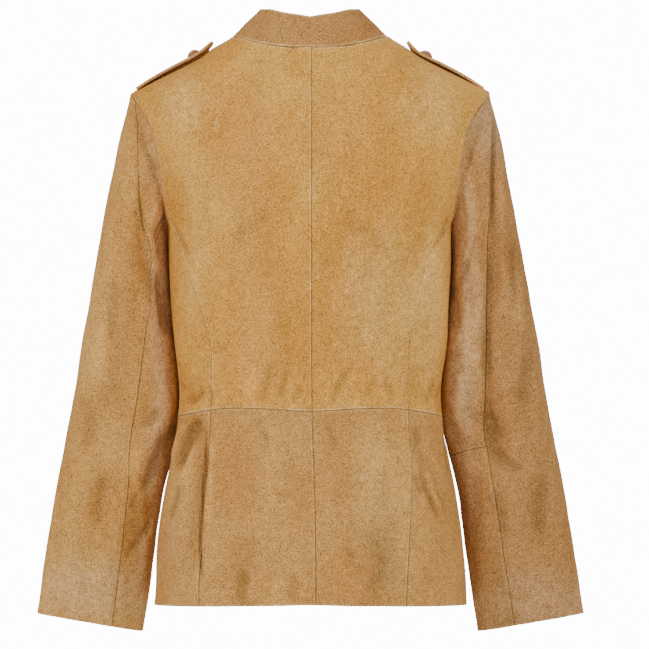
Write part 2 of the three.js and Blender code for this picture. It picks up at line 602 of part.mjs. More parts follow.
function bodyFront(side) {
  const joint = loopPlace(side, SIDE_FRONT_JOINT);
  const foot = sideFrontAngle(side, waistZ(SIDE_FRONT_TURN));
  const seam = seamLine((z) => sideFrontAngle(side, z), waistZ(foot), joint.z, SEAM_ROWS);
  const armhole = loopLine(side, SIDE_FRONT_JOINT, 360);
  const right = [...seam.slice(0, -1), ...armhole];
  const edge = [
    ...seamLine((z) => lapAngle(side, z), waistZ(180), joint.z, SEAM_ROWS).slice(0, -1),
    ...seamLine((z) => lapAngle(side, z), joint.z, FRONT_NECK_Z, armhole.length - 1),
  ];
  const neckline = frontNeckline(side, NECK_FRONT);
  const top = [edge[edge.length - 1], ...neckline.slice(0, -1), ...shoulderLine(side, SHOULDER)];
  top[top.length - 1] = armhole[armhole.length - 1];
  const bottom = waistLine(edge[0].angle, foot, top.length - 1);
  const pairs = torsoPairs(side, patch(bottom, top, edge, right), lapLift(side));
  const seated = pullIn(pairs, ["bottom", "top", "right"], SEAM_ROWS);
  return wallMesh("front_" + sideName(side), seated, SUEDE);
}

function bodySide(side) {
  const backZ = loopPlace(side, SIDE_BACK_JOINT).z;
  const frontZ = loopPlace(side, SIDE_FRONT_JOINT).z;
  const footBack = sideBackAngle(side, waistZ(SIDE_BACK_TURN));
  const footFront = sideFrontAngle(side, waistZ(SIDE_FRONT_TURN));
  const left = seamLine((z) => sideBackAngle(side, z), waistZ(footBack), backZ, SEAM_ROWS);
  const right = seamLine((z) => sideFrontAngle(side, z), waistZ(footFront), frontZ, SEAM_ROWS);
  const top = steps(SIDE_BACK_JOINT, SIDE_FRONT_JOINT, SIDE_COLUMNS).map((loop) => ({
    ...loopPlace(side, loop),
    loop,
  }));
  left[SEAM_ROWS] = top[0];
  right[SEAM_ROWS] = top[SIDE_COLUMNS];
  const bottom = waistLine(footBack, footFront, SIDE_COLUMNS);
  const pairs = torsoPairs(side, patch(bottom, top, left, right));
  return wallMesh("side_" + sideName(side), pullIn(pairs, ["bottom", "left", "right"]), SUEDE);
}

// One panel below the waist seam, between two seams that run down to the hem.
function skirtPanel(name, side, leftAngle, rightAngle, edges, liftAt) {
  const startLeft = leftAngle(waistZ(leftAngle(WAIST_SEAM[0].z)));
  const startRight = rightAngle(waistZ(rightAngle(WAIST_SEAM[0].z)));
  const endLeft = leftAngle(HEM[0].z);
  const endRight = rightAngle(HEM[0].z);
  const left = seamLine(leftAngle, waistZ(startLeft), hemZ(endLeft), SKIRT_ROWS);
  const right = seamLine(rightAngle, waistZ(startRight), hemZ(endRight), SKIRT_ROWS);
  const waist = waistLine(startLeft, startRight, SKIRT_COLUMNS);
  const hem = steps(endLeft, endRight, SKIRT_COLUMNS).map((angle) => ({ angle, z: hemZ(angle) }));
  const pairs = torsoPairs(side, patch(waist, hem, left, right), liftAt);
  return wallMesh(name + "_" + sideName(side), pullIn(pairs, edges), SUEDE);
}
function skirt(side) {
  const back = (z) => sideBackAngle(side, z);
  const front = (z) => sideFrontAngle(side, z);
  const edge = (z) => lapAngle(side, z);
  return [
    skirtPanel("skirt_back", side, centreBackAngle, back, ["bottom", "left", "right"]),
    skirtPanel("skirt_side", side, back, front, ["bottom", "left", "right"]),
    skirtPanel("skirt_front", side, edge, front, ["bottom", "right"], lapLift(side)),
  ];
}

// Sleeve rows: close together in the cap, with one row on the elbow seam.
const SLEEVE_ROWS = [
  ...steps(SHOULDER_TIP_Z, -205, 7).slice(0, -1),
  ...steps(-205, PIECING_Z, 9).slice(0, -1),
  ...steps(PIECING_Z, CUFF_Z, 8),
];
const PIECING_ROW = 16;
const PIECING_SPREAD = 3; // rows on each side that tilt along with the elbow seam

// The sleeve's columns between two seams.
// On the armhole they are its shared points, and lower down they are evenly spaced.
function sleevePairs(side, piece, fromRow, toRow, tilt) {
  const seamBack = (z) => read(SLEEVE_SEAMS, "outZ", sideName(side), z);
  const seamFront = (z) => read(SLEEVE_SEAMS, "outZ", "front", z);
  const joint = seamBack(SHOULDER_TIP_Z);
  const loops =
    piece === "under"
      ? LOOP_ANGLES.filter((loop) => loop >= joint && loop <= seamFront(SHOULDER_TIP_Z))
      : [
          ...LOOP_ANGLES.filter((loop) => loop <= joint).reverse(),
          ...LOOP_ANGLES.filter((loop) => loop >= seamFront(SHOULDER_TIP_Z) && loop < 360)
            .reverse()
            .map((loop) => loop - 360),
        ];
  const folds = sleeveFolds(side);
  return SLEEVE_ROWS.slice(fromRow, toRow + 1).map((rowZ, n) => {
    const row = fromRow + n;
    return loops.map((loop, i) => {
      if (row === 0) return seamPair(side, loop < 0 ? loop + 360 : loop, 1);
      const share = i / (loops.length - 1);
      const nearPiecing = Math.max(0, 1 - Math.abs(row - PIECING_ROW) / PIECING_SPREAD);
      const z = rowZ - tilt * share * nearPiecing;
      const end = piece === "under" ? seamFront(z) : seamFront(z) - 360;
      const even = mix(seamBack(z), end, share);
      const angle = mix(loop, even, smooth((SHOULDER_TIP_Z - z) / CAP_LENGTH));
      const chart = (angle < -60 ? angle + 360 : angle) * DEGREE * SLEEVE_CHART;
      const push = foldDepth(folds, chart, z) * smooth((SHOULDER_TIP_Z - z) / FOLD_START);
      return clothPair(sleeveBase(side, angle, z), sleeveNormal(side, angle, z), push);
    });
  });
}
function sleeve(side) {
  const last = SLEEVE_ROWS.length - 1;
  const drop = side > 0 ? PIECING_DROP : 0;
  const upper = pullIn(sleevePairs(side, "upper", 0, last, 0), ["left", "right"]);
  const meshes = [wallMesh("sleeve_upper_" + sideName(side), upper, SUEDE)];
  if (side < 0) {
    const under = pullIn(sleevePairs(side, "under", 0, last, drop), ["left", "right"]);
    return [...meshes, wallMesh("sleeve_under_left", under, SUEDE)];
  }
  const high = pullIn(sleevePairs(side, "under", 0, PIECING_ROW, drop), ["left", "right", "top"]);
  const low = pullIn(sleevePairs(side, "under", PIECING_ROW, last, drop), ["left", "right", "bottom"]);
  meshes.push(wallMesh("sleeve_under_right", high, SUEDE));
  meshes.push(wallMesh("sleeve_under_cuff_right", low, SUEDE));
  return meshes;
}

// The stand collar: one band from the left front round the back to the right front.
function collar() {
  const half = (side) => {
    const back = backNeckline(side, NECK_BACK);
    const front = frontNeckline(side, NECK_FRONT).reverse();
    return [...back.slice(0, -1), ...front];
  };
  const places = [...half(-1).reverse().slice(0, -1), ...half(1)];
  const foot = places.map((place) => torsoBase(place.angle, place.z));
  foot[0].x = -COLLAR_MEET;
  foot[foot.length - 1].x = COLLAR_MEET;
  const outer = steps(0, 1, COLLAR_ROWS).map((up) =>
    foot.map((base) => {
      const round = Math.abs(Math.atan2(base.x, -base.y)) / DEGREE;
      const inwards = new THREE.Vector3(-base.x, -base.y, 0).normalize();
      const top = base.clone().addScaledVector(inwards, read(COLLAR_STAND, "angle", "lean", round));
      top.z += read(COLLAR_STAND, "angle", "rise", round);
      if (Math.abs(base.x) <= COLLAR_MEET) top.x = base.x;
      return base.clone().lerp(top, up);
    }),
  );
  const pairs = outer.map((row, j) =>
    row.map((point, i) => {
      const around = row[Math.min(i + 1, row.length - 1)].clone().sub(row[Math.max(i - 1, 0)]);
      const up = outer[COLLAR_ROWS][i].clone().sub(outer[0][i]);
      const normal = around.cross(up).normalize();
      return { outer: point.clone(), inner: point.clone().addScaledVector(normal, -COLLAR_WALL) };
    }),
  );
  return wallMesh("collar", pullIn(pairs, ["bottom"]), COLLAR_SUEDE);
}

// Height of the shoulder's surface over a place beside the neck.
function shoulderHeight(x, y) {
  let low = -90;
  let high = SIDE_NECK.z;
  for (let n = 0; n < HALVINGS; n++) {
    const middle = (low + high) / 2;
    const half = read(TORSO, "z", "half", middle);
    const deep = read(TORSO, "z", y < 0 ? "back" : "front", middle);
    const square = read(TORSO, "z", "square", middle);
    if ((x / half) ** square + Math.abs(y / deep) ** square < 1) low = middle;
    else high = middle;
  }
  return (low + high) / 2;
}

// A shoulder strap lies along the shoulder, is sewn into the armhole and points to the neck.
// A button holds it there. share is 0 on its underside and 1 on its top.
function strapPoint(side, x, across, share) {
  const half = read(STRAP_WIDTHS, "x", "half", x);
  const y = STRAP_FORWARD + across * half;
  const z = shoulderHeight(x, y);
  const lift = SEAM_GAP + read(STRAP_LIFTS, "x", sideName(side), x);
  const normal = torsoNormal(side * torsoAngle(x, z, y < 0 ? "back" : "front"), z);
  const height = share * read(STRAP_LIFTS, "x", "thick", x);
  return new THREE.Vector3(side * x, y, z).addScaledVector(normal, lift + height);
}
function strap(side) {
  const pairs = steps(STRAP.neckX, STRAP.tipX, STRAP.rows).map((x) =>
    steps(-1, 1, STRAP.columns).map((across) => ({
      outer: strapPoint(side, x, across, 1),
      inner: strapPoint(side, x, across, 0),
    })),
  );
  return wallMesh("epaulette_" + sideName(side), pairs, SUEDE);
}

// A low domed button with a rim, standing on a face.
function button(name, place, axis) {
  const { radius, rim, height, sides } = BUTTON;
  const profile = [
    [0, 0],
    [radius * 0.86, 0],
    [radius, rim * 0.5],
    [radius * 0.95, rim],
    [radius * 0.7, height * 0.75],
    [0, height],
  ].map(([r, y]) => new THREE.Vector2(r, y));
  const geometry = new THREE.LatheGeometry(profile, sides);
  const mesh = new THREE.Mesh(geometry, BUTTON_SHELL);
  mesh.name = name;
  mesh.quaternion.setFromUnitVectors(new THREE.Vector3(0, 1, 0), axis);
  mesh.position.copy(place);
  return mesh;
}
function strapButton(side) {
  const reach = BUTTON.radius;
  const at = (dx, across) => strapPoint(side, STRAP_BUTTON_X + dx, across, 1);
  const alongStrap = at(reach, 0).sub(at(-reach, 0));
  const axis = alongStrap.cross(at(0, 0.4).sub(at(0, -0.4))).normalize();
  if (axis.z < 0) axis.negate();
  const highest = Math.max(
    ...steps(0, 360, 12).map((turn) => {
      const dx = reach * Math.cos(turn * DEGREE);
      const across = (reach * Math.sin(turn * DEGREE)) / read(STRAP_WIDTHS, "x", "half", STRAP_BUTTON_X + dx);
      return at(dx, across).sub(at(0, 0)).dot(axis);
    }),
    0,
  );
  return button(
    "epaulette_button_" + sideName(side),
    at(0, 0).addScaledVector(axis, highest + SEAM_GAP),
    axis,
  );
}
function frontButton(index) {
  const z = FRONT_BUTTONS.topZ - index * FRONT_BUTTONS.pitch;
  const axis = torsoNormal(180, z);
  const surface = (dx, dz) => torsoPair(torsoAngle(dx, z + dz, "front"), z + dz, LAP_LIFT).outer;
  const centre = torsoPair(180, z, LAP_LIFT).outer;
  const highest = Math.max(
    0,
    ...steps(0, 360, 12).map((turn) =>
      surface(BUTTON.radius * Math.cos(turn * DEGREE), BUTTON.radius * Math.sin(turn * DEGREE))
        .sub(centre)
        .dot(axis),
    ),
  );
  return button("front_button_" + (index + 1), centre.addScaledVector(axis, highest + SEAM_GAP), axis);
}

const jacket = new THREE.Group();
for (const side of [1, -1]) {
  jacket.add(bodyBack(side), bodySide(side), bodyFront(side));
  jacket.add(...skirt(side), ...sleeve(side));
  jacket.add(strap(side), strapButton(side));
}
jacket.add(collar());
for (let index = 0; index < FRONT_BUTTONS.count; index++) jacket.add(frontButton(index));

export default jacket;
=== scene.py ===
# A fitted suede jacket with a stand collar and shoulder straps, seen from behind, filled out as if worn.
# Sizes are in millimetres until a mesh is made, and the meshes are in metres, in the frame of the model.
import math
from collections import namedtuple

import bpy
import numpy as np
from mathutils import Matrix, Vector


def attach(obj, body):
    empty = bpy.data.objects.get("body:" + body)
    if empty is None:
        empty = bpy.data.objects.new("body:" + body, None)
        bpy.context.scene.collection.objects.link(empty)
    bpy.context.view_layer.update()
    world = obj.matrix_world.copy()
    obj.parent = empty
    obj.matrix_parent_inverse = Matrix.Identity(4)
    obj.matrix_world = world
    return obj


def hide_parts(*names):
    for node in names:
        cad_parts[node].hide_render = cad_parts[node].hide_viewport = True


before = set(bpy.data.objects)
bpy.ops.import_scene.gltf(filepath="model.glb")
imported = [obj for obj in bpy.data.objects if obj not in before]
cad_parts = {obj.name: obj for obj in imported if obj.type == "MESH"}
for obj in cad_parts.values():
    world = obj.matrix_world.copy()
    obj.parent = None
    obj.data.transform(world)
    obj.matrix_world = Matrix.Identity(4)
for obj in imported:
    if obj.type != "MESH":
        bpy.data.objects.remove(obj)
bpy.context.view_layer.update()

# Back panels
# Two pieces of tan suede from the collar to the waist seam, joined down the centre back.
# Their edges are turned in at the seams, pressed flat and stitched close beside the seam.
MM = 0.001
WALL = 1.9
HEM = ((0, -616), (90, -621), (180, -628))
WAIST_SEAM = ((0, -404), (50, -400), (90, -410), (130, -403), (200, -404))
SIDE_NECK_X, SIDE_NECK_Z, NAPE_Z, FRONT_NECK_Z = 86, 15, 0, -62
TIP_Z, ARMPIT_Z = -49, -196
ARMHOLE_SWING, CAP_POWER = 18.5, 1.2
SIDE_BACK_JOINT, SIDE_FRONT_JOINT = 152, 212
GRID_STEP = 2.6
EDGE_STEPS = np.array([0, 0.3, 0.8, 1.5, 2.3, 3.1, 4.3, 6.2])
STITCH_COLUMN = 4
TORSO_CHART = 140
FOLD_FADE = 0.3


class Table:
    """Rows of numbers under named columns, read on a smooth curve that never overshoots a row."""

    def __init__(self, columns, *rows):
        self.columns = columns.split()
        self.rows = np.array(sorted(rows), float)

    def read(self, column, at):
        x, y = self.rows[:, 0], self.rows[:, self.columns.index(column)]
        rise = np.diff(y) / np.diff(x)
        before, after = rise[:-1], rise[1:]
        same_way = before * after > 0
        total = np.where(same_way, before + after, 1)
        slope = np.concatenate(([rise[0]], np.where(same_way, 2 * before * after / total, 0), [rise[-1]]))
        at = np.clip(at, x[0], x[-1])
        i = np.clip(np.searchsorted(x, at, side="right") - 1, 0, len(x) - 2)
        span = x[i + 1] - x[i]
        t = (at - x[i]) / span
        return (
            (1 + 2 * t) * (1 - t) ** 2 * y[i]
            + t * t * (3 - 2 * t) * y[i + 1]
            + t * (1 - t) ** 2 * span * slope[i]
            - t * t * (1 - t) * span * slope[i + 1]
        )


TORSO = Table(
    "z half back front square",
    (-640, 176.5, 115, 112, 2.3),
    (-616, 175, 115, 112, 2.3),
    (-560, 171.5, 113, 110, 2.3),
    (-504, 164.5, 106, 107, 2.25),
    (-460, 156.5, 95, 103, 2.2),
    (-430, 150.5, 87, 100, 2.2),
    (-403, 147, 82.5, 98, 2.2),
    (-385, 146, 82, 99, 2.2),
    (-325, 152.5, 89, 110, 2.2),
    (-269, 156.5, 99, 123, 2.2),
    (-235, 158, 104, 127, 2.25),
    (-196, 158.5, 108, 122, 2.3),
    (-178, 166, 108, 117, 2.25),
    (-165, 173, 108, 113, 2.2),
    (-136, 186, 106, 103, 2.2),
    (-115, 193.5, 102, 95, 2.2),
    (-95, 198, 98, 87, 2.2),
    (-68, 202, 91, 76, 2.2),
    (-49, 200.5, 85, 68, 2.2),
    (-46, 196.5, 84, 67, 2.2),
    (-41.5, 188, 82.5, 65.5, 2.2),
    (-33.5, 172, 79, 62, 2.2),
    (-22.5, 149, 74, 57, 2.2),
    (-8.5, 122, 66, 50, 2.2),
    (1.5, 108, 61, 46, 2.2),
    (6.5, 99.5, 58, 44, 2.2),
    (10.5, 92.5, 56, 42, 2.2),
    (15, 86, 54, 40, 2.2),
    (26, 70, 48, 34, 2.2),
)
BACK_SEAMS = Table(
    "z centre right left",
    (-616, 6.5, 107, 122),
    (-560, 6.5, 109, 121),
    (-480, 5, 112, 116),
    (-403, 2.5, 109.5, 109.5),
    (-339, 2, 109, 109),
    (-300, 2, 117, 117),
    (-257, 2, 131, 131),
    (-216, 2, 146, 146),
    (-188, 2, 156.5, 156.5),
)
SIDE_FRONT_SEAM = Table("z angle", (-616, 124), (-403, 127), (-300, 122), (-184, 101))
WAIST = Table("angle z", *WAIST_SEAM)
HEM_LINE = Table("angle z", *HEM)

# Folds run along a line from start to end. A negative depth is a trough, a positive one a ridge.
# Those named open run out over the hem.
Fold = namedtuple("Fold", "x z to_x to_z width depth open", defaults=(False,))
BACK_FOLDS = (
    Fold(-117, -407, -153, -478, 12, -6.5),
    Fold(-116, -425, -128, -605, 9, -5),
    Fold(-100, -440, -108, -600, 11, 2),
    Fold(113, -407, 147, -532, 11, -4.5),
    Fold(137, -455, 157, -530, 8, -2.5),
    Fold(74, -520, 77, -616, 18, -5, True),
    Fold(40, -530, 38, -616, 18, 2.5, True),
    Fold(-70, -535, -74, -616, 20, -4, True),
    Fold(-30, -540, -34, -616, 18, 2, True),
    Fold(-140, -398, -108, -366, 11, -3),
    Fold(-45, -398, -26, -345, 12, -2),
    Fold(126, -396, 118, -350, 10, -2.5),
)
FRONT_FOLDS = (
    Fold(96, -520, 102, -616, 17, -4, True),
    Fold(-88, -500, -94, -616, 17, -4, True),
    Fold(118, -408, 138, -500, 12, -4),
    Fold(-120, -408, -136, -490, 12, -4),
    Fold(112, -398, 84, -320, 13, -3),
    Fold(-110, -398, -80, -330, 13, -3),
)


def ease(t):
    t = np.clip(t, 0, 1)
    return t * t * (3 - 2 * t)


def torso_form(angle, z):
    """The torso before its folds. Angle 0 is the centre back, 90 the wearer's right, 180 the centre front."""
    sin, cos = np.sin(np.radians(angle)), np.cos(np.radians(angle))
    deep = np.where(cos > 0, TORSO.read("back", z), TORSO.read("front", z))
    square = TORSO.read("square", z)
    reach = (np.abs(sin / TORSO.read("half", z)) ** square + np.abs(cos / deep) ** square) ** (-1 / square)
    return np.stack([reach * sin, -reach * cos, z + 0 * reach], -1)


def unit(vectors):
    return vectors / np.maximum(np.linalg.norm(vectors, axis=-1, keepdims=True), 1e-12)


def normals_of(form, angle, z, step_angle=0.5, step_z=0.5):
    """Normals of a form, from the differences round each point."""
    along = form(angle + step_angle, z) - form(angle - step_angle, z)
    up = form(angle, z + step_z) - form(angle, z - step_z)
    return unit(np.cross(along, up))


def torso_normals(angle, z):
    normals = normals_of(torso_form, angle, z)
    outwards = torso_form(angle, z) * (1, 1, 0)
    return np.where((normals * outwards).sum(-1, keepdims=True) < 0, -normals, normals)


def torso_angle(x, z, side="back"):
    """Angle of the point of the torso that shows at x and z from the back, or from the front."""
    half, deep, square = (TORSO.read(name, z) for name in ("half", side, "square"))
    y = deep * np.maximum(0, 1 - np.abs(x / half) ** square) ** (1 / square)
    return np.degrees(np.arctan2(x, y if side == "back" else -y))


def charted(folds, place):
    """The folds with their two ends as places on a flat chart of the cloth."""
    return [(fold, *place(fold.x, fold.z), *place(fold.to_x, fold.to_z)) for fold in folds]


def torso_place(side):
    return lambda x, z: (float(np.radians(torso_angle(x, z, side))) * TORSO_CHART, z)


TORSO_FOLDS = charted(BACK_FOLDS, torso_place("back")) + charted(FRONT_FOLDS, torso_place("front"))


# Slow swells of the cloth: how many go round, how fast they turn with height, where they start, and their height.
SWELLS = (
    (5, 0.021, 0.4, 0.5), (8, -0.034, 1.9, 0.45), (13, 0.047, 3.1, 0.3),
    (9, 0.011, 5.0, 0.4), (17, -0.07, 2.2, 0.22), (23, 0.09, 0.9, 0.15),
)


def swell(angle, z, turn=0):
    return sum(
        height * np.sin(count * np.radians(angle) + rate * z + start + turn)
        for count, rate, start, height in SWELLS
    )


def fold_depth(folds, u, v):
    total = np.zeros(np.broadcast(u, v).shape)
    for fold, from_u, from_v, to_u, to_v in folds:
        du, dv = to_u - from_u, to_v - from_v
        length = math.hypot(du, dv)
        along = ((u - from_u) * du + (v - from_v) * dv) / length**2
        off = ((u - from_u) * dv - (v - from_v) * du) / length
        end = 1 if fold.open else ease((1 - along) / FOLD_FADE)
        total += fold.depth * np.exp(-((off / fold.width) ** 2)) * ease(along / FOLD_FADE) * end
    return total


Crease = namedtuple("Crease", "width depth points")
CREASE_FADE = 0.24


def creased(creases, place):
    """The creases with their points as places on the flat chart."""
    return [Crease(c.width, c.depth, [place(x, z) for x, z in c.points]) for c in creases]


def crease_depth(creases, u, v):
    """Fine creases: lines of several points, each a trough or ridge that dies away at both ends."""
    total = np.zeros(np.broadcast(u, v).shape)
    for crease in creases:
        nearest, along, passed = np.full(total.shape, 1e9), np.zeros(total.shape), 0.0
        for (from_u, from_v), (to_u, to_v) in zip(crease.points, crease.points[1:]):
            du, dv = to_u - from_u, to_v - from_v
            length = math.hypot(du, dv)
            t = np.clip(((u - from_u) * du + (v - from_v) * dv) / length**2, 0, 1)
            away = np.hypot(u - from_u - t * du, v - from_v - t * dv)
            closer = away < nearest
            nearest, along = np.where(closer, away, nearest), np.where(closer, passed + t * length, along)
            passed += length
        fade = passed * CREASE_FADE
        ends = ease(along / fade) * ease((passed - along) / fade)
        total += crease.depth * np.exp(-((nearest / crease.width) ** 2)) * ends
    return total


BACK_CREASES = creased(
    (
        Crease(6, -4.6, ((-120, -408), (-129, -418), (-137, -430), (-144, -447), (-150, -470))),
        Crease(5, 2.2, ((-140, -416), (-149, -436), (-155, -462))),
        Crease(5.5, 2.2, ((-124, -428), (-132, -446), (-138, -464), (-141, -486))),
        Crease(5, -2.6, ((-145, -484), (-149, -504), (-156, -526))),
        Crease(2.4, -3.8, ((-110.5, -414), (-113, -421), (-116, -442), (-116.5, -465), (-119, -492), (-121.5, -520),
                           (-122, -548), (-120, -577), (-119, -604))),
        Crease(5, -1.6, ((-114, -440), (-117, -470), (-120, -500), (-122, -540))),
        Crease(4.5, 1.8, ((-105, -420), (-110, -450), (-113, -490), (-116, -540))),
        Crease(4.5, -2.4, ((-140, -388), (-132, -392), (-124, -386), (-118, -376))),
        Crease(3, -2.4, ((-147, -370), (-143, -376), (-140, -382))),
        Crease(3.6, -1.8, ((-112, -402), (-109, -390), (-110, -378))),
        Crease(6, -1.8, ((-58, -398), (-50, -380), (-44, -360), (-42, -342))),
        Crease(6, -1.6, ((-34, -396), (-30, -378), (-26, -358))),
        Crease(5, -1.8, ((-22, -392), (-14, -386), (-8, -376))),
        Crease(7, 1.4, ((-72, -392), (-64, -372), (-60, -350))),
        Crease(6, -1.8, ((22, -398), (30, -380), (40, -364), (46, -352))),
        Crease(6, -1.4, ((58, -396), (66, -380), (76, -368))),
        Crease(4.5, -2.0, ((118, -418), (121, -430), (125, -440))),
        Crease(4.5, -2.3, ((120, -463), (125, -476), (131, -490), (138, -506), (146, -530))),
        Crease(4, -1.2, ((143, -488), (148, -502), (152, -516))),
        Crease(4.5, 1.8, ((128, -462), (136, -482), (143, -500), (150, -518))),
        Crease(4, -2.2, ((116, -474), (121, -486), (126, -494))),
        Crease(6, -1.8, ((150, -424), (152, -448), (156, -476))),
        Crease(5, -1.6, ((41, -548), (45, -562), (46, -578))),
        Crease(6, -1.8, ((-72, -574), (-75, -590), (-79, -614))),
        Crease(6, -1.6, ((-18, -578), (-17, -594), (-20, -614))),
        Crease(6, 1.8, ((-62, -574), (-63, -592), (-66, -614))),
        Crease(6, -1.6, ((76, -540), (80, -566), (79, -600))),
        Crease(6, -1.4, ((18, -410), (24, -430), (34, -446))),
        Crease(6, -1.3, ((-60, -408), (-48, -430), (-44, -452))),
        Crease(5, -2.0, ((128, -396), (136, -380), (141, -366))),
        Crease(4, -1.8, ((138, -392), (143, -384), (146, -372))),
        Crease(5, -1.5, ((96, -396), (88, -380), (84, -362))),
        Crease(3.2, -2.6, ((156, -184), (152, -198), (147, -212))),
        Crease(3.2, -2.2, ((154, -188), (149, -202), (141, -216), (134, -226))),
        Crease(4, -2.2, ((-155, -190), (-148, -206), (-140, -220), (-133, -234))),
        Crease(9, -1.3, ((30, -190), (60, -204), (90, -228))),
        Crease(9, -1.2, ((-40, -180), (-66, -200), (-90, -226))),
    ),
    torso_place("back"),
)
FRONT_CREASES = creased(
    (
        Crease(5, -1.8, ((150, -205), (136, -222), (116, -232))),
        Crease(5, -1.8, ((-150, -207), (-137, -221), (-120, -230))),
        Crease(4, -1.6, ((124, -396), (112, -384), (98, -378))),
        Crease(4, -1.6, ((-126, -394), (-112, -386), (-100, -374))),
        Crease(5, -1.6, ((60, -398), (54, -380), (52, -360))),
        Crease(5, -1.4, ((-64, -398), (-56, -382), (-50, -364))),
        Crease(4, -2.0, ((126, -412), (132, -436), (136, -462))),
        Crease(4, -2.0, ((-122, -412), (-131, -432), (-136, -456))),
        Crease(6, -1.5, ((70, -440), (74, -470), (72, -500))),
        Crease(6, -1.3, ((-60, -450), (-66, -474), (-66, -498))),
    ),
    torso_place("front"),
)
TORSO_CREASES = BACK_CREASES + FRONT_CREASES


def painted_crease_shade(folds, fine, slow):
    """How strong the painted shade in the creases and the painted highlight on their ridges are: the fine creases most.
    """
    return 0.35 * folds + 1.6 * fine + 0.4 * slow


def torso_cloth(angle, z, lift=0):
    """Points and normals of the torso cloth with its folds, and the weighted fold depth that paints shade into its
    troughs and highlight onto its ridges.
    """
    chart = np.where(angle > 180, angle - 360, np.where(angle < -180, angle + 360, angle))
    u = np.radians(chart) * TORSO_CHART
    folds, fine, slow = fold_depth(TORSO_FOLDS, u, z), crease_depth(TORSO_CREASES, u, z), swell(angle, z)
    normals = torso_normals(angle, z)
    points = torso_form(angle, z) + normals * (folds + fine + slow + lift)[..., None]
    return points, normals, painted_crease_shade(folds, fine, slow)


def line(start, end):
    """A run of places from start to end, each a function of 0 to 1."""
    return lambda t: np.stack([start[k] + (end[k] - start[k]) * np.asarray(t) for k in (0, 1)], -1)


def chain(*parts):
    """Several runs one after the other, given as (share of the whole, run)."""
    ends = np.cumsum([share for share, run in parts])

    def joined(t):
        t = np.asarray(t, float)
        out = np.zeros(t.shape + (2,))
        start = 0.0
        for (share, run), end in zip(parts, ends):
            inside = (t >= start) & (t <= end + 1e-9) if end == ends[-1] else (t >= start) & (t < end)
            out[inside] = run(np.clip((t[inside] - start) / share, 0, 1))
            start = end
        return out

    return joined


def down_seam(angle_at, from_z, to_z):
    def run(t):
        z = from_z + (to_z - from_z) * np.asarray(t, float)
        return np.stack([angle_at(z) + 0 * z, z], -1)

    return run


def waist_run(start, end):
    def run(t):
        angle = start + (end - start) * np.asarray(t, float)
        return np.stack([angle, WAIST.read("z", np.abs(angle))], -1)

    return run


def loop_place(side, loop):
    """A place on the armhole: 0 is the shoulder tip, 90 the back, 180 the armpit, 270 the front."""
    loop = np.radians(np.asarray(loop, float))
    power = np.where(np.cos(loop) > 0, CAP_POWER, 1)
    angle = side * (90 - ARMHOLE_SWING * np.sign(np.sin(loop)) * np.abs(np.sin(loop)) ** power)
    z = (TIP_Z + ARMPIT_Z) / 2 + (TIP_Z - ARMPIT_Z) / 2 * np.cos(loop)
    return np.stack([angle, z], -1)


def loop_run(side, start, end):
    return lambda t: loop_place(side, start + (end - start) * np.asarray(t, float))


def coons(outline, u, v):
    """A four-sided patch of places between its bottom, top, left and right runs."""
    bottom, top, left, right = outline
    corners = [run(np.array([end]))[0] for run in (bottom, top) for end in (0.0, 1.0)]
    u3, v3 = u[..., None], v[..., None]
    ruled = (1 - v3) * bottom(u) + v3 * top(u) + (1 - u3) * left(v) + u3 * right(v)
    flat_low = (1 - u3) * corners[0] + u3 * corners[1]
    flat_high = (1 - u3) * corners[2] + u3 * corners[3]
    return ruled - (1 - v3) * flat_low - v3 * flat_high


def stations(total, count):
    """Distances along a line of the cloth: close together at both edges and even between them."""
    even = np.linspace(EDGE_STEPS[-1], total - EDGE_STEPS[-1], count)[1:-1]
    return np.concatenate([EDGE_STEPS, even, total - EDGE_STEPS[::-1]])


Grid = namedtuple("Grid", "u v left right bottom top")


def lay_grid(surface, outline, step=GRID_STEP, samples=81):
    """Where the grid's points lie on a patch, and how far each is from the patch's four edges."""
    fine = np.linspace(0, 1, samples)
    u, v = np.meshgrid(fine, fine)
    places = coons(outline, u, v)
    points = surface(places[..., 0], places[..., 1])[0]
    across = np.zeros(u.shape)
    across[:, 1:] = np.cumsum(np.linalg.norm(np.diff(points, axis=1), axis=-1), axis=1)
    up = np.zeros(u.shape)
    up[1:] = np.cumsum(np.linalg.norm(np.diff(points, axis=0), axis=-1), axis=0)
    columns = max(4, int(across[:, -1].max() / step))
    rows = max(4, int(up[-1].max() / step))
    middle = samples // 2
    u_even = np.interp(stations(across[middle, -1], columns), across[middle], fine)
    v_even = np.interp(stations(up[-1, middle], rows), up[:, middle], fine)
    row_lengths = np.stack([np.interp(v_even, fine, across[:, k]) for k in range(samples)], -1)
    column_lengths = np.stack([np.interp(u_even, fine, up[k]) for k in range(samples)], -1)
    left = np.stack([stations(lengths[-1], columns) for lengths in row_lengths])
    bottom = np.stack([stations(lengths[-1], rows) for lengths in column_lengths], -1)
    grid_u = np.stack([np.interp(d, lengths, fine) for d, lengths in zip(left, row_lengths)])
    grid_v = np.stack([np.interp(d, lengths, fine) for d, lengths in zip(bottom.T, column_lengths)], -1)
    return Grid(grid_u, grid_v, left, left[:, -1:] - left, bottom, bottom[-1:] - bottom)


SEAM_ROLL, FLAT_ROLL, FREE_ROLL = 0.95, 0.4, 0.45
LIP_RISE, LIP_WIDTH, LIP_AT = 0.3, 0.7, 1.4
THREAD_SINK, THREAD_WIDTH = 0.35, 0.5
THREAD_AT = float(EDGE_STEPS[STITCH_COLUMN])
ALLOWANCE_RISE, ALLOWANCE_FROM, ALLOWANCE_FADE = 0.3, 5, 3.5


def rolled(distance, radius):
    """How far an edge has turned away from the flat."""
    bend = np.clip(1 - distance / radius, 0, 1)
    return radius * (1 - np.sqrt(1 - bend**2))


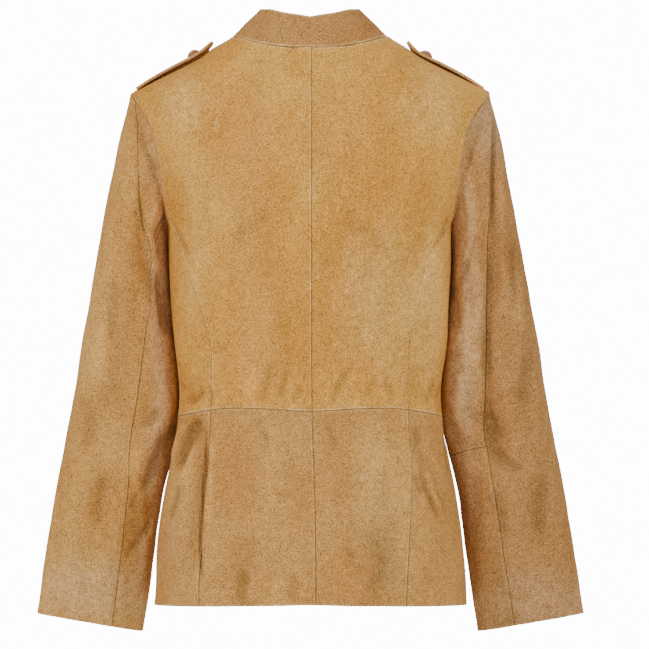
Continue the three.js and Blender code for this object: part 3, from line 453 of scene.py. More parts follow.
def seam_relief(distances, pressed, free):
    """Height of the cloth near its edges. pressed says how high an edge stands on its turned allowance."""
    allowance, roll, line = 0.0, 0.0, 0.0
    for edge, d in distances.items():
        rise = pressed.get(edge, ALLOWANCE_RISE)
        allowance = np.maximum(allowance, rise * (1 - ease((d - ALLOWANCE_FROM) / ALLOWANCE_FADE)))
        if edge not in free:
            roll = np.maximum(roll, rolled(d, SEAM_ROLL if rise else FLAT_ROLL))
        if rise:
            line = line + LIP_RISE * np.exp(-(((d - LIP_AT) / LIP_WIDTH) ** 2))
            line = line - THREAD_SINK * np.exp(-(((d - THREAD_AT) / THREAD_WIDTH) ** 2))
    return allowance - roll + line


def new_piece(name, points, faces, material, smooth=True):
    """A mesh object in metres, with its material, riding on the jacket."""
    mesh = bpy.data.meshes.new(name)
    mesh.from_pydata((np.asarray(points) * MM).tolist(), [], faces)
    mesh.update()
    mesh.polygons.foreach_set("use_smooth", [smooth] * len(mesh.polygons))
    mesh.materials.append(material)
    piece = bpy.data.objects.new(name, mesh)
    bpy.context.scene.collection.objects.link(piece)
    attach(piece, "root")
    return piece


def shell_faces(rows, columns):
    """Faces of a closed wall: its outer side, its inner side and the rim round both."""
    index = np.arange(rows * columns).reshape(rows, columns)
    behind = index + rows * columns
    outer = np.stack([index[:-1, :-1], index[:-1, 1:], index[1:, 1:], index[1:, :-1]], -1).reshape(-1, 4)
    inner = (outer + rows * columns)[:, ::-1]
    ring = np.concatenate([index[0], index[1:, -1], index[-1, -2::-1], index[-2:0:-1, 0]])
    ring_behind = np.concatenate([behind[0], behind[1:, -1], behind[-1, -2::-1], behind[-2:0:-1, 0]])
    rim = np.stack([np.roll(ring, -1), ring, ring_behind, np.roll(ring_behind, -1)], -1)
    return np.concatenate([outer, inner, rim])


def volume_of(points, faces):
    a, b, c, d = (points[faces[:, k]] for k in range(4))
    return float((a * np.cross(b, c) + a * np.cross(c, d)).sum())


def cloth_shell(name, outer, inner, tone, material):
    """A closed wall of cloth from its outer and inner points. tone holds numbers that the finish reads."""
    rows, columns = outer.shape[:2]
    points = np.concatenate([outer.reshape(-1, 3), inner.reshape(-1, 3)])
    faces = shell_faces(rows, columns)
    if volume_of(points, faces) < 0:
        faces = faces[:, ::-1]
    piece = new_piece(name, points, faces.tolist(), material)
    for key, values in tone.items():
        layer = piece.data.attributes.new(key, "FLOAT", "POINT")
        inside = np.zeros(values.size)
        layer.data.foreach_set("value", np.concatenate([values.ravel(), inside]).astype(np.float32))
    return piece


Meeting = namedtuple("Meeting", "edge normals")
MEETING_FADE = 5


def panel(name, surface, outline, material, meetings=(), free=(), pressed={}, step=GRID_STEP, wall=WALL):
    """Cuts one piece of cloth, and returns it with its stitch lines, by edge, as points and normals."""
    grid = lay_grid(surface, outline, step)
    places = coons(outline, grid.u, grid.v)
    base, normals, depth = surface(places[..., 0], places[..., 1])
    distances = {edge: getattr(grid, edge) for edge in ("left", "right", "bottom", "top")}
    for meeting in meetings:
        share = {"left": grid.v[:, :1], "right": grid.v[:, -1:], "bottom": grid.u[:1], "top": grid.u[-1:]}
        shared = meeting.normals(share[meeting.edge])
        near = 1 - ease(distances[meeting.edge] / MEETING_FADE)
        weight = near * (np.linalg.norm(shared, axis=-1) > 0.5)
        normals = unit(normals * (1 - weight[..., None]) + shared * weight[..., None])
    relief = seam_relief(distances, pressed, free)
    turned = sum(rolled(distances[edge], wall * FREE_ROLL) for edge in free) + 0 * relief
    turned = np.minimum(turned, wall * FREE_ROLL)
    outer = base + normals * (relief - turned)[..., None]
    inner = base - normals * (wall - turned)[..., None]
    nearest = np.minimum.reduce([d for edge, d in distances.items() if edge not in free])
    nearest_raised = np.minimum.reduce([d for edge, d in distances.items() if pressed.get(edge, 1)])
    # Numbers that the finish paints with: edge pales the cloth beside raised seams, partly rubbed nap and partly
    # painted highlight; groove is painted shade in the seam grooves; crease is painted shade in fold troughs and
    # painted highlight on ridges.
    tone = {
        "edge": np.exp(-(((nearest_raised - 1.3) / 1.1) ** 2)),
        "groove": np.exp(-((nearest / 0.6) ** 2)),
        "crease": depth,
    }
    piece = cloth_shell(name, outer, inner, tone, material)
    k = STITCH_COLUMN
    lines = {
        "left": (outer[k:-k, k], normals[k:-k, k]),
        "right": (outer[k:-k, -1 - k], normals[k:-k, -1 - k]),
        "bottom": (outer[k, k:-k], normals[k, k:-k]),
        "top": (outer[-1 - k, k:-k], normals[-1 - k, k:-k]),
    }
    area = float(np.linalg.norm(np.cross(base[1:, 1:] - base[:-1, :-1], base[1:, :-1] - base[:-1, 1:]), axis=-1).sum() / 2)
    print(f"CUT {name} {grid.left[:, -1].max():.0f} x {grid.bottom[-1].max():.0f} mm, {area * 1e-6:.4f} m2")
    return piece, lines


# Shader maths: an expression on these adds the nodes that work it out.
class Value:
    def __init__(self, finish, socket):
        self.finish, self.socket = finish, socket

    def maths(self, operation, *others):
        values = {i: getattr(o, "socket", o) for i, o in enumerate(others)}
        return self.finish.add("ShaderNodeMath", {"operation": operation}, values)

    def __add__(self, other):
        return self.maths("ADD", self, other)

    def __sub__(self, other):
        return self.maths("SUBTRACT", self, other)

    def __mul__(self, other):
        return self.maths("MULTIPLY", self, other)

    def __rsub__(self, other):
        return self.maths("SUBTRACT", other, self)

    __radd__, __rmul__ = __add__, __mul__

    def clamped(self):
        return self.maths("MAXIMUM", self.maths("MINIMUM", self, 1.0), 0.0)


class Finish:
    """A material with one Principled shader. add() takes a node's type, its settings and its sockets."""

    def __init__(self, name, **constants):
        self.material = bpy.data.materials.new(name)
        self.material.use_nodes = True
        self.tree = self.material.node_tree
        self.shader = self.tree.nodes["Principled BSDF"]
        for socket, value in constants.items():
            self.shader.inputs[socket.replace("_", " ")].default_value = value

    def add(self, kind, settings=(), sockets=(), output=0):
        node = self.tree.nodes.new(kind)
        for key, value in dict(settings).items():
            if key == "ramp":
                ramp = node.color_ramp
                while len(ramp.elements) < len(value):
                    ramp.elements.new(0.5)
                for element, (position, colour) in zip(ramp.elements, value):
                    element.position, element.color = position, (*colour, 1)
            else:
                setattr(node, key, value)
        for key, value in dict(sockets).items():
            value = getattr(value, "socket", value)
            if isinstance(value, bpy.types.NodeSocket):
                self.tree.links.new(value, node.inputs[key])
            else:
                node.inputs[key].default_value = value
        return Value(self, node.outputs[output])

    def place(self):
        return self.add("ShaderNodeTexCoord", output="Object")

    def noise(self, place, scale, detail=2.0, roughness=0.5, output=0):
        settings = {"noise_dimensions": "3D"}
        sockets = {"Vector": place, "Scale": scale, "Detail": detail, "Roughness": roughness}
        return self.add("ShaderNodeTexNoise", settings, sockets, output)

    def blend(self, factor, first, second, kind="MIX"):
        settings = {"data_type": "RGBA", "blend_type": kind}
        return self.add("ShaderNodeMix", settings, {0: factor, 6: first, 7: second}, 2)

    def spot(self, place, x, z, wide, tall):
        """A soft oval round a place as seen from the back: 1 in its middle and 0 outside."""
        sockets = {"Vector": place, "Scale": (1 / (wide * MM), 0, 1 / (tall * MM)), "Location": (-x / wide, 0, -z / tall)}
        away = self.add("ShaderNodeVectorMath", {"operation": "LENGTH"}, {0: self.add("ShaderNodeMapping", {}, sockets)}, 1)
        return self.map(away, 0.2, 1.1, 1.0, 0.0)

    def map(self, value, low, high, to_low=0.0, to_high=1.0):
        sockets = {0: value, 1: low, 2: high, 3: to_low, 4: to_high}
        return self.add("ShaderNodeMapRange", {"interpolation_type": "SMOOTHSTEP"}, sockets)

    def feed(self, socket, value):
        self.tree.links.new(value.socket, self.shader.inputs[socket])


def linear(red, green, blue):
    """A colour as the eye names it, 0 to 255, in the shader's own measure."""
    return tuple(((c / 255 + 0.055) / 1.055) ** 2.4 for c in (red, green, blue))


Spot = namedtuple("Spot", "x z wide tall colour share")


def suede(name, pale, tan, russet, shift=(0, 0, 0), spots=(), edge_wear_and_highlight=1.0):
    """Napped suede: soft clouds where the nap lies differently, a fine pebbly grain, and paler edges beside the seams,
    partly rubbed nap and partly painted highlight on the raised seam ridges. Painted shade darkens crease troughs and
    seam grooves, and painted highlight lightens crease ridges.
    """
    finish = Finish(name, Roughness=0.92, Specular_IOR_Level=0.1, Sheen_Weight=0.12, Sheen_Roughness=0.5,
                    Sheen_Tint=(*linear(236, 190, 130), 1))
    place = finish.add("ShaderNodeMapping", {}, {"Vector": finish.place(), "Location": shift})
    hanging = finish.add("ShaderNodeMapping", {}, {"Vector": place, "Scale": (1.0, 1.0, 0.42)})
    cloud = finish.noise(hanging, 8, 2, 0.5)
    patch = finish.noise(hanging, 32, 3, 0.55)
    mottle = finish.noise(place, 140, 3, 0.6)
    pebble = finish.noise(place, 800, 2, 0.7)
    grain = finish.noise(place, 1500, 2, 0.7)
    other = finish.add("ShaderNodeMapping", {}, {"Vector": hanging, "Location": (3.1, 1.7, 5.3)})
    drift = finish.noise(other, 11, 3, 0.55)
    colour = finish.blend(finish.map(cloud * 0.55 + patch * 0.28 + mottle * 0.17, 0.36, 0.62), (*russet, 1), (*tan, 1))
    colour = finish.blend(finish.map(drift * 0.75 + patch * 0.25, 0.42, 0.68) * 0.7, colour, (*pale, 1))
    for spot in spots:
        near = finish.spot(finish.place(), spot.x, spot.z, spot.wide, spot.tall)
        share = near * finish.map(patch * 0.5 + mottle * 0.5, 0.3, 0.7, 0.45, 1.0) * spot.share
        colour = finish.blend(share, colour, (*linear(*spot.colour), 1))
    crease = finish.add("ShaderNodeAttribute", {"attribute_name": "crease"}, output="Fac")
    edge = finish.add("ShaderNodeAttribute", {"attribute_name": "edge"}, output="Fac")
    groove = finish.add("ShaderNodeAttribute", {"attribute_name": "groove"}, output="Fac")
    # Paler seam edges: partly rubbed nap, partly painted highlight on the raised ridges beside the seams.
    worn_and_highlit_edge = edge * finish.map(patch + mottle * 0.5, 0.6, 0.9, 0.3, 0.75) * edge_wear_and_highlight
    colour = finish.blend(worn_and_highlit_edge.clamped(), colour, (*linear(240, 200, 132), 1))
    speckle = (pebble - 0.5) * PEBBLE + (grain - 0.5) * GRAIN + (mottle - 0.5) * MOTTLE + 1.0
    # Painted shade and highlight: darker in crease troughs, lighter on crease ridges and darker in the seam grooves,
    # times the grain.
    shade = finish.map(crease, -6.0, 4.6, 0.60, 1.18) * speckle * (1.0 - groove * 0.45)
    colour = finish.add("ShaderNodeVectorMath", {"operation": "SCALE"}, {0: colour, 3: shade})
    finish.feed("Base Color", colour)
    finish.feed("Roughness", finish.map(mottle, 0.3, 0.7, 0.84, 0.98))
    height = pebble * 0.6 + grain * 0.25 + mottle * 0.15
    bump = finish.add("ShaderNodeBump", {}, {"Strength": 0.5, "Distance": 0.0007, "Height": height})
    finish.feed("Normal", bump)
    return finish.material


PEBBLE, GRAIN, MOTTLE = 3.2, 2.9, 0.5
RUSSET, STRAW, OLIVE = (198, 128, 62), (232, 186, 112), (168, 134, 88)
BODY_SPOTS = (
    Spot(-78, -95, 56, 80, RUSSET, 0.6),
    Spot(-62, -336, 46, 76, RUSSET, 0.5),
    Spot(-58, -215, 44, 110, RUSSET, 0.4),
    Spot(26, -80, 34, 80, RUSSET, 0.25),
    Spot(78, -280, 64, 110, STRAW, 0.5),
    Spot(134, -68, 40, 50, STRAW, 0.45),
    Spot(-138, -62, 44, 44, STRAW, 0.5),
    Spot(54, -100, 7, 2.4, STRAW, 0.8),
    Spot(-45, -100, 9, 3.5, STRAW, 0.6),
    Spot(-103, -87, 4, 12, STRAW, 0.7),
    Spot(-128, -250, 22, 70, STRAW, 0.35),
    Spot(136, -290, 26, 120, (240, 192, 112), 0.5),
)
body_suede = suede("body suede", linear(223, 169, 84), linear(216, 157, 69), linear(204, 141, 58), (0, 0, 0), BODY_SPOTS)


def thread_finish():
    finish = Finish("tan thread", Roughness=0.6, Specular_IOR_Level=0.3, Sheen_Weight=0.2)
    twist = finish.add("ShaderNodeTexWave", {"wave_type": "BANDS", "bands_direction": "DIAGONAL"},
                       {"Vector": finish.place(), "Scale": 900.0})
    finish.feed("Base Color", finish.blend(twist, (*linear(180, 132, 80), 1), (*linear(204, 156, 100), 1)))
    return finish.material


tan_thread = thread_finish()
STITCH_LENGTH, STITCH_PITCH, STITCH_RADIUS, STITCH_SIDES = 2.5, 3.3, 0.26, 5


def stitch_mesh():
    """One stitch along X, its ends sunk into the suede: rings of points and the faces between them."""
    rings = ((-0.5, -0.9, 0.55), (-0.25, 0.55, 1), (0.25, 0.55, 1), (0.5, -0.9, 0.55))
    points, faces = [], []
    for along, rise, size in rings:
        for k in range(STITCH_SIDES):
            turn = 2 * math.pi * k / STITCH_SIDES
            points.append((along * STITCH_LENGTH, STITCH_RADIUS * size * math.cos(turn),
                           STITCH_RADIUS * (rise + size * math.sin(turn))))
    for r in range(len(rings) - 1):
        for k in range(STITCH_SIDES):
            a, b = r * STITCH_SIDES + k, r * STITCH_SIDES + (k + 1) % STITCH_SIDES
            faces.append((a, b, b + STITCH_SIDES, a + STITCH_SIDES))
    faces.append(tuple(range(STITCH_SIDES))[::-1])
    faces.append(tuple(range(len(points) - STITCH_SIDES, len(points))))
    return np.array(points), faces


STITCH_POINTS, STITCH_FACES = stitch_mesh()


def stitching(name, lines, pitch=STITCH_PITCH, shrink=1.0, turned=False):
    """One mesh of all the stitches that lie along the given lines of points and normals."""
    points, faces = [], []
    for way, normals in lines:
        lengths = np.concatenate([[0], np.cumsum(np.linalg.norm(np.diff(way, axis=0), axis=1))])
        at = np.arange(pitch / 2, lengths[-1], pitch)
        centre = np.stack([np.interp(at, lengths, way[:, k]) for k in range(3)], -1)
        ahead = np.stack([np.interp(at + 0.5, lengths, way[:, k]) for k in range(3)], -1)
        behind = np.stack([np.interp(at - 0.5, lengths, way[:, k]) for k in range(3)], -1)
        up = unit(np.stack([np.interp(at, lengths, normals[:, k]) for k in range(3)], -1))
        along = unit(ahead - behind)
        along = unit(along - up * (along * up).sum(-1, keepdims=True))
        beside = np.cross(up, along)
        if turned:
            along, beside = beside, -along
        for c, x, y, z in zip(centre, along, beside, up):
            start = len(points) * len(STITCH_POINTS)
            points.append(c + (STITCH_POINTS * shrink) @ np.stack([x, y, z]))
            faces += [tuple(start + i for i in face) for face in STITCH_FACES]
    return new_piece(name, np.concatenate(points), faces, tan_thread)


def side_name(side):
    return "right" if side > 0 else "left"


def centre_back(z):
    return torso_angle(BACK_SEAMS.read("centre", z), z)


JOINT_FADE = 20


def led_to(joint, angle_at):
    """The seam's angle, led over its last stretch to where it meets the armhole."""
    joint_angle, joint_z = (float(number) for number in joint)
    miss = joint_angle - float(angle_at(joint_z))
    return lambda z: angle_at(z) + miss * ease((z - joint_z + JOINT_FADE) / JOINT_FADE)


def side_back(side):
    joint = loop_place(side, SIDE_BACK_JOINT)
    return led_to(joint, lambda z: side * torso_angle(BACK_SEAMS.read(side_name(side), z), z))


def side_front(side):
    return led_to(loop_place(side, SIDE_FRONT_JOINT), lambda z: side * SIDE_FRONT_SEAM.read("angle", z))


def back_neckline(side, start=0):
    """From the centre back to the side of the neck. start is how far to its own side the run begins."""

    def run(t):
        x = start + (SIDE_NECK_X - start) * np.sin(np.asarray(t, float) * np.pi / 2)
        z = NAPE_Z + (SIDE_NECK_Z - NAPE_Z) * (np.abs(x) / SIDE_NECK_X) ** 2.5
        return np.stack([side * torso_angle(x, z), z], -1)

    return run


def front_neckline(side, start=0):
    def run(t):
        turn = np.asarray(t, float) * np.pi / 2
        x = start + (SIDE_NECK_X - start) * np.sin(turn)
        z = SIDE_NECK_Z + (FRONT_NECK_Z - SIDE_NECK_Z) * np.cos(turn)
        return np.stack([side * torso_angle(x, z, "front"), z], -1)

    return run


TIP_X = float(TORSO.read("half", TIP_Z))
SHOULDER_HEIGHTS = np.linspace(TIP_Z, SIDE_NECK_Z, 400)
SHOULDER_HALVES = TORSO.read("half", SHOULDER_HEIGHTS)


def shoulder_run(side):
    def run(t):
        x = SIDE_NECK_X + (TIP_X - SIDE_NECK_X) * np.asarray(t, float)
        z = np.interp(x, SHOULDER_HALVES[::-1], SHOULDER_HEIGHTS[::-1])
        return np.stack([side * 90 + 0 * x, z], -1)

    return run


SIDE_BACK_FOOT_Z = float(WAIST.read("z", 50))
SIDE_FRONT_FOOT_Z = float(WAIST.read("z", 127))
CENTRE_SHARE, NECK_SHARE, CENTRE_RISE = 0.55, 0.42, 18


def sleeve_form(side, angle, z):
    """The sleeve before its folds: a tilted ring that starts as the armhole. Angle 0 is its outer edge, 90 its back."""
    get = {name: SLEEVE.read(name, z) for name in ("out_x", "out_y", "in_x", "in_z", "in_y", "depth", "square")}
    sin, cos = np.sin(np.radians(angle)), np.cos(np.radians(angle))
    reach = (np.abs(cos) ** get["square"] + np.abs(sin) ** get["square"]) ** (-1 / get["square"])
    out = reach * cos
    x = (get["out_x"] + get["in_x"]) / 2 + out * (get["out_x"] - get["in_x"]) / 2
    y = (get["out_y"] + get["in_y"]) / 2 + out * (get["out_y"] - get["in_y"]) / 2 - reach * sin * get["depth"]
    height = (z + get["in_z"]) / 2 + out * (z - get["in_z"]) / 2
    return np.stack([side * x, y, height], -1)


def sleeve_surface(side, angle, z):
    fade = 1 - ease((TIP_Z - z) / CAP_LENGTH)
    loop = loop_place(side, angle)
    to_loop = torso_form(loop[..., 0], loop[..., 1]) - sleeve_form(side, angle, TIP_Z + 0 * z)
    return sleeve_form(side, angle, z) + to_loop * fade[..., None]


def sleeve_normals(side, angle, z):
    z = np.minimum(z, TIP_Z - 1) + 0 * angle
    return -side * normals_of(lambda a, h: sleeve_surface(side, a, h), angle, z, 1, 1)


SLEEVE = Table(
    "z out_x out_y in_x in_z in_y depth square",
    (-49, 200.5, 0, 158.5, -196, 0, 61, 2),
    (-69, 206, 0, 157.9, -203, 22, 63, 2),
    (-95, 212.5, 0, 157.2, -213, 31, 66, 2.05),
    (-130, 219.5, 1, 156.7, -226, 36.5, 67, 2.1),
    (-168, 226.7, 2, 155.7, -243, 39, 66, 2.2),
    (-205, 233.5, 4, 155.2, -265, 39, 64, 2.4),
    (-248, 241.5, 6, 153.9, -292, 38, 61, 2.55),
    (-300, 250, 8, 150.8, -327, 34, 55, 2.65),
    (-335, 256.5, 10, 147, -360, 34, 51, 2.7),
    (-373, 262.5, 13, 145, -395, 34, 48, 2.7),
    (-410, 269.5, 16, 149.5, -430, 34, 45, 2.7),
    (-446, 276.5, 20, 159, -465, 34, 42, 2.7),
    (-486, 284, 25, 168, -505, 35, 38, 2.7),
    (-549, 295, 33, 176, -567, 38, 31, 2.6),
    (-594, 302.5, 39, 182.5, -612, 42, 26.5, 2.5),
    (-633, 308, 44, 189, -653, 45, 23, 2.4),
)
CAP_LENGTH = 120


def armhole_normals(side, loop):
    """Shared normals of torso and sleeve along the armhole, so that both are rounded towards one groove."""
    place = loop_place(side, loop)
    body = torso_normals(place[..., 0], place[..., 1])
    return unit(body + sleeve_normals(side, np.asarray(loop, float), TIP_Z + 0 * np.asarray(loop, float)))


def meeting_on(run_normals, start, end):
    """Shared normals on one stretch of an edge, and none (zero) on the rest of it."""

    def normals(t):
        share = (t - start) / (end - start)
        inside = (share >= -1e-9) & (share <= 1 + 1e-9)
        return run_normals(np.clip(share, 0, 1)) * inside[..., None]

    return normals


def sew(piece, node, hangs_from):
    """The piece stands for the model's solid of this node, which is hidden."""
    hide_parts(node)


def waist_z(angle):
    return float(WAIST.read("z", abs(angle)))


CENTRE_FOOT = float(centre_back(WAIST_SEAM[0][1]))
SIDE_BACK_TURN, SIDE_FRONT_TURN = 50, 127
JOINT_Z = float(loop_place(1, SIDE_BACK_JOINT)[1])
CENTRE_SHARE, NECK_SHARE, CENTRE_RISE = 0.55, 0.42, 18
SIDES = (1, -1)
PRESSED = 0.8  # height of a seam edge that both allowances are pressed under

for side in SIDES:
    foot = float(side_back(side)(waist_z(SIDE_BACK_TURN)))
    rise_z = JOINT_Z + CENTRE_RISE
    start = side * float(BACK_SEAMS.read("centre", NAPE_Z))
    centre = chain(
        (CENTRE_SHARE, down_seam(centre_back, waist_z(CENTRE_FOOT), rise_z)),
        (1 - CENTRE_SHARE, down_seam(centre_back, rise_z, NAPE_Z)),
    )
    outer_edge = chain(
        (CENTRE_SHARE, down_seam(side_back(side), waist_z(foot), JOINT_Z)),
        (1 - CENTRE_SHARE, loop_run(side, SIDE_BACK_JOINT, 0)),
    )
    neck_and_shoulder = chain((NECK_SHARE, back_neckline(side, start)), (1 - NECK_SHARE, shoulder_run(side)))
    outline = (waist_run(CENTRE_FOOT, foot), neck_and_shoulder, centre, outer_edge)
    shared = meeting_on(lambda t, s=side: armhole_normals(s, SIDE_BACK_JOINT * (1 - t)), CENTRE_SHARE, 1)
    node = "back_" + side_name(side)
    pressed = {"left": PRESSED if side < 0 else 0, "right": PRESSED}
    piece, lines = panel("suede_" + node, torso_cloth, outline, body_suede, [Meeting("right", shared)], (), pressed)
    sewn = ["right", "bottom"] + (["left"] if side < 0 else [])
    stitches = stitching("stitches_" + node, [lines[edge] for edge in sewn])
    sew(piece, node, ["collar", "front_" + side_name(side)])

# Side panels
# They run from the underside of the armhole to the waist seam, one on each side.
for side in SIDES:
    foot_back = float(side_back(side)(waist_z(SIDE_BACK_TURN)))
    foot_front = float(side_front(side)(waist_z(SIDE_FRONT_TURN)))
    front_z = float(loop_place(side, SIDE_FRONT_JOINT)[1])
    outline = (
        waist_run(foot_back, foot_front),
        loop_run(side, SIDE_BACK_JOINT, SIDE_FRONT_JOINT),
        down_seam(side_back(side), waist_z(foot_back), JOINT_Z),
        down_seam(side_front(side), waist_z(foot_front), front_z),
    )
    span = SIDE_FRONT_JOINT - SIDE_BACK_JOINT
    shared = meeting_on(lambda t, s=side: armhole_normals(s, SIDE_BACK_JOINT + span * t), 0, 1)
    node = "side_" + side_name(side)
    piece, lines = panel("suede_" + node, torso_cloth, outline, body_suede, [Meeting("top", shared)], (), {"left": 0})
    stitches = stitching("stitches_" + node, [lines["right"], lines["bottom"]])
    sew(piece, node, ["back_" + side_name(side), "front_" + side_name(side)])

# Fronts
# The wearer's right front laps over the left one. Its edge is turned in, stitched, and has the buttonholes.
LAP = 15
LAP_LIFT = 2.8
LAP_FROM, LAP_TO = 32, 62
FRONT_SHARES = (0.06, 0.45, 0.49)


def lap_cloth(side):
    """The torso cloth, raised where this front lies over the other."""

    def surface(angle, z):
        x = torso_form(angle, z)[..., 0]
        lift = LAP_LIFT * (1 - ease((x - LAP_FROM) / (LAP_TO - LAP_FROM))) if side > 0 else 0 * x
        return torso_cloth(angle, z, lift)

    return surface


def lap_edge(side):
    return lambda z: side * (360 - torso_angle(LAP, z, "front"))


def front_edge_to_neck(side):
    """The short top of the lap, from the front edge back to the centre front."""
    start = float(lap_edge(side)(FRONT_NECK_Z))
    return line((start, FRONT_NECK_Z), (side * 180, FRONT_NECK_Z))


for side in SIDES:
    edge_foot = float(lap_edge(side)(waist_z(180)))
    foot_front = float(side_front(side)(waist_z(SIDE_FRONT_TURN)))
    front_z = float(loop_place(side, SIDE_FRONT_JOINT)[1])
    neckline = front_neckline(side)
    outline = (
        waist_run(edge_foot, foot_front),
        chain(
            (FRONT_SHARES[0], front_edge_to_neck(side)),
            (FRONT_SHARES[1], neckline),
            (FRONT_SHARES[2], shoulder_run(side)),
        ),
        chain(
            (CENTRE_SHARE, down_seam(lap_edge(side), waist_z(edge_foot), front_z)),
            (1 - CENTRE_SHARE, down_seam(lap_edge(side), front_z, FRONT_NECK_Z)),
        ),
        chain(
            (CENTRE_SHARE, down_seam(side_front(side), waist_z(foot_front), front_z)),
            (1 - CENTRE_SHARE, loop_run(side, SIDE_FRONT_JOINT, 360)),
        ),
    )
    span = 360 - SIDE_FRONT_JOINT
    shared = meeting_on(lambda t, s=side: armhole_normals(s, SIDE_FRONT_JOINT + span * t), CENTRE_SHARE, 1)
    node = "front_" + side_name(side)
    surface = lap_cloth(side)
    piece, lines = panel("suede_" + node, surface, outline, body_suede, [Meeting("right", shared)], ["left"])
    stitches = stitching("stitches_" + node, [lines["left"], lines["right"], lines["bottom"]])
    sew(piece, node, ["back_" + side_name(side)])

# Skirt
# Six panels below the waist seam, whose seams carry on from those above, with the hem turned up.
HEM_LINE = Table("angle z", *HEM)


def hem_z(angle):
    return float(HEM_LINE.read("z", abs(angle)))


def skirt_panel(name, side, left_angle, right_angle, surface, free, sewn, pressed={}):
    start, end = WAIST_SEAM[0][1], HEM[0][1]
    left_top, right_top = float(left_angle(start)), float(right_angle(start))
    left_foot, right_foot = float(left_angle(end)), float(right_angle(end))

    def hem_run(t):
        angle = left_foot + (right_foot - left_foot) * np.asarray(t, float)
        return np.stack([angle, HEM_LINE.read("z", np.abs(angle))], -1)

    left_top, right_top = float(left_angle(waist_z(left_top))), float(right_angle(waist_z(right_top)))
    outline = (
        hem_run,
        waist_run(left_top, right_top),
        down_seam(left_angle, hem_z(left_foot), waist_z(left_top)),
        down_seam(right_angle, hem_z(right_foot), waist_z(right_top)),
    )
    node = name + "_" + side_name(side)
    piece, lines = panel("suede_" + node, surface, outline, skirt_suede, (), free, pressed)
    stitches = stitching("stitches_" + node, [lines[edge] for edge in sewn])
    upper = name.replace("skirt_", "")
    sew(piece, node, [upper + "_" + side_name(side)])


SHADOW = (96, 62, 34)
SKIRT_SPOTS = (
    Spot(-115.2, -456, 2.2, 44, SHADOW, 0.6),
    Spot(-118.4, -500, 2.4, 44, SHADOW, 0.85),
    Spot(-121.2, -545, 2.2, 36, SHADOW, 0.75),
    # Painted highlight: a pale streak on the ridge beside the painted seam shadow.
    Spot(-110, -480, 5, 60, STRAW, 0.3),
    Spot(-78, -470, 44, 66, (182, 116, 58), 0.45),
    Spot(67, -470, 34, 70, STRAW, 0.45),
    # Painted shade: a darker olive streak along the fold trough near the hem.
    Spot(84, -550, 14, 70, OLIVE, 0.45),
    Spot(-150, -560, 26, 70, OLIVE, 0.3),
)
skirt_suede = suede("skirt suede", linear(206, 156, 90), linear(198, 144, 76), linear(187, 131, 67), (0.3, 0.1, 0),
                    SKIRT_SPOTS, 0.55)
for side in SIDES:
    pressed = {"left": PRESSED if side < 0 else 0, "right": PRESSED if side > 0 else 0}
    sewn = ["top"] + [edge for edge, rise in pressed.items() if rise]
    skirt_panel("skirt_back", side, centre_back, side_back(side), torso_cloth, ["bottom"],
                sewn, pressed)
    pressed = {"left": 0 if side > 0 else PRESSED}
    sewn = ["top", "right"] + [edge for edge, rise in pressed.items() if rise]
    skirt_panel("skirt_side", side, side_back(side), side_front(side), torso_cloth, ["bottom"],
                sewn, pressed)
    skirt_panel("skirt_front", side, lap_edge(side), side_front(side), lap_cloth(side),
                ["bottom", "left"], ["left", "right", "top"])

# Sleeves
# Two-piece sleeves set into the armholes. The right under sleeve is joined from two pieces at the elbow.
CUFF_Z, PIECING_Z, PIECING_DROP = -633, -431, 12
SLEEVE_CHART = 52
FOLD_START = 30
SLEEVE_SEAMS = Table(
    "z right left front",
    (-49, 15, 30, 240),
    (-69, 25.5, 43.5, 240),
    (-95, 38.5, 58, 240),
    (-130, 59.5, 81.5, 239),
    (-168, 78, 109, 238),
    (-205, 85.8, 116, 237),
    (-248, 91.8, 114.5, 236),
    (-300, 95.5, 109, 235),
    (-373, 98.5, 101, 235),
    (-410, 104.8, 100.5, 235),
    (-486, 108.5, 111, 235),
    (-633, 107.5, 114.5, 235),
)
# Folds of the sleeves, from one angle and height to another.
RIGHT_FOLDS = (
    Fold(44, -95, 92, -290, 9, -4.5),
    Fold(92, -270, 100, -480, 9, -3.5),
    Fold(70, -95, 112, -330, 11, 2.5),
    Fold(150, -190, 135, -300, 10, -3),
    Fold(145, -395, 112, -450, 11, -3),
    Fold(40, -430, 75, -560, 13, -2),
    Fold(265, -330, 215, -400, 13, -4),
    Fold(285, -370, 225, -440, 12, -3.5),
    Fold(300, -120, 270, -240, 13, -3),
    Fold(178, -385, 178, -505, 14, -2.0),
)
LEFT_FOLDS = (
    Fold(80, -112, 118, -240, 10, -4),
    Fold(128, -180, 150, -300, 10, -4),
    Fold(100, -130, 135, -235, 10, 2),
    Fold(160, -385, 132, -470, 12, -4),
    Fold(158, -480, 110, -545, 12, -3),
    Fold(70, -290, 82, -420, 12, -2),
    Fold(265, -340, 215, -410, 13, -4),
    Fold(290, -365, 230, -445, 12, -3.5),
    Fold(295, -110, 265, -230, 13, -3),
    Fold(176, -405, 176, -530, 13, 1.45),
)


def sleeve_place(side):
    """Where a point of the sleeve that shows at x and z from the back lies on its flat chart."""
    angle, height = np.meshgrid(np.linspace(0, 180, 361), np.linspace(TIP_Z, CUFF_Z, 585))
    points = sleeve_surface(side, angle, height)

    def place(x, z):
        near = np.hypot(points[..., 0] - x, points[..., 2] - z).argmin()
        return math.radians(angle.flat[near]) * SLEEVE_CHART, float(height.flat[near])

    return place


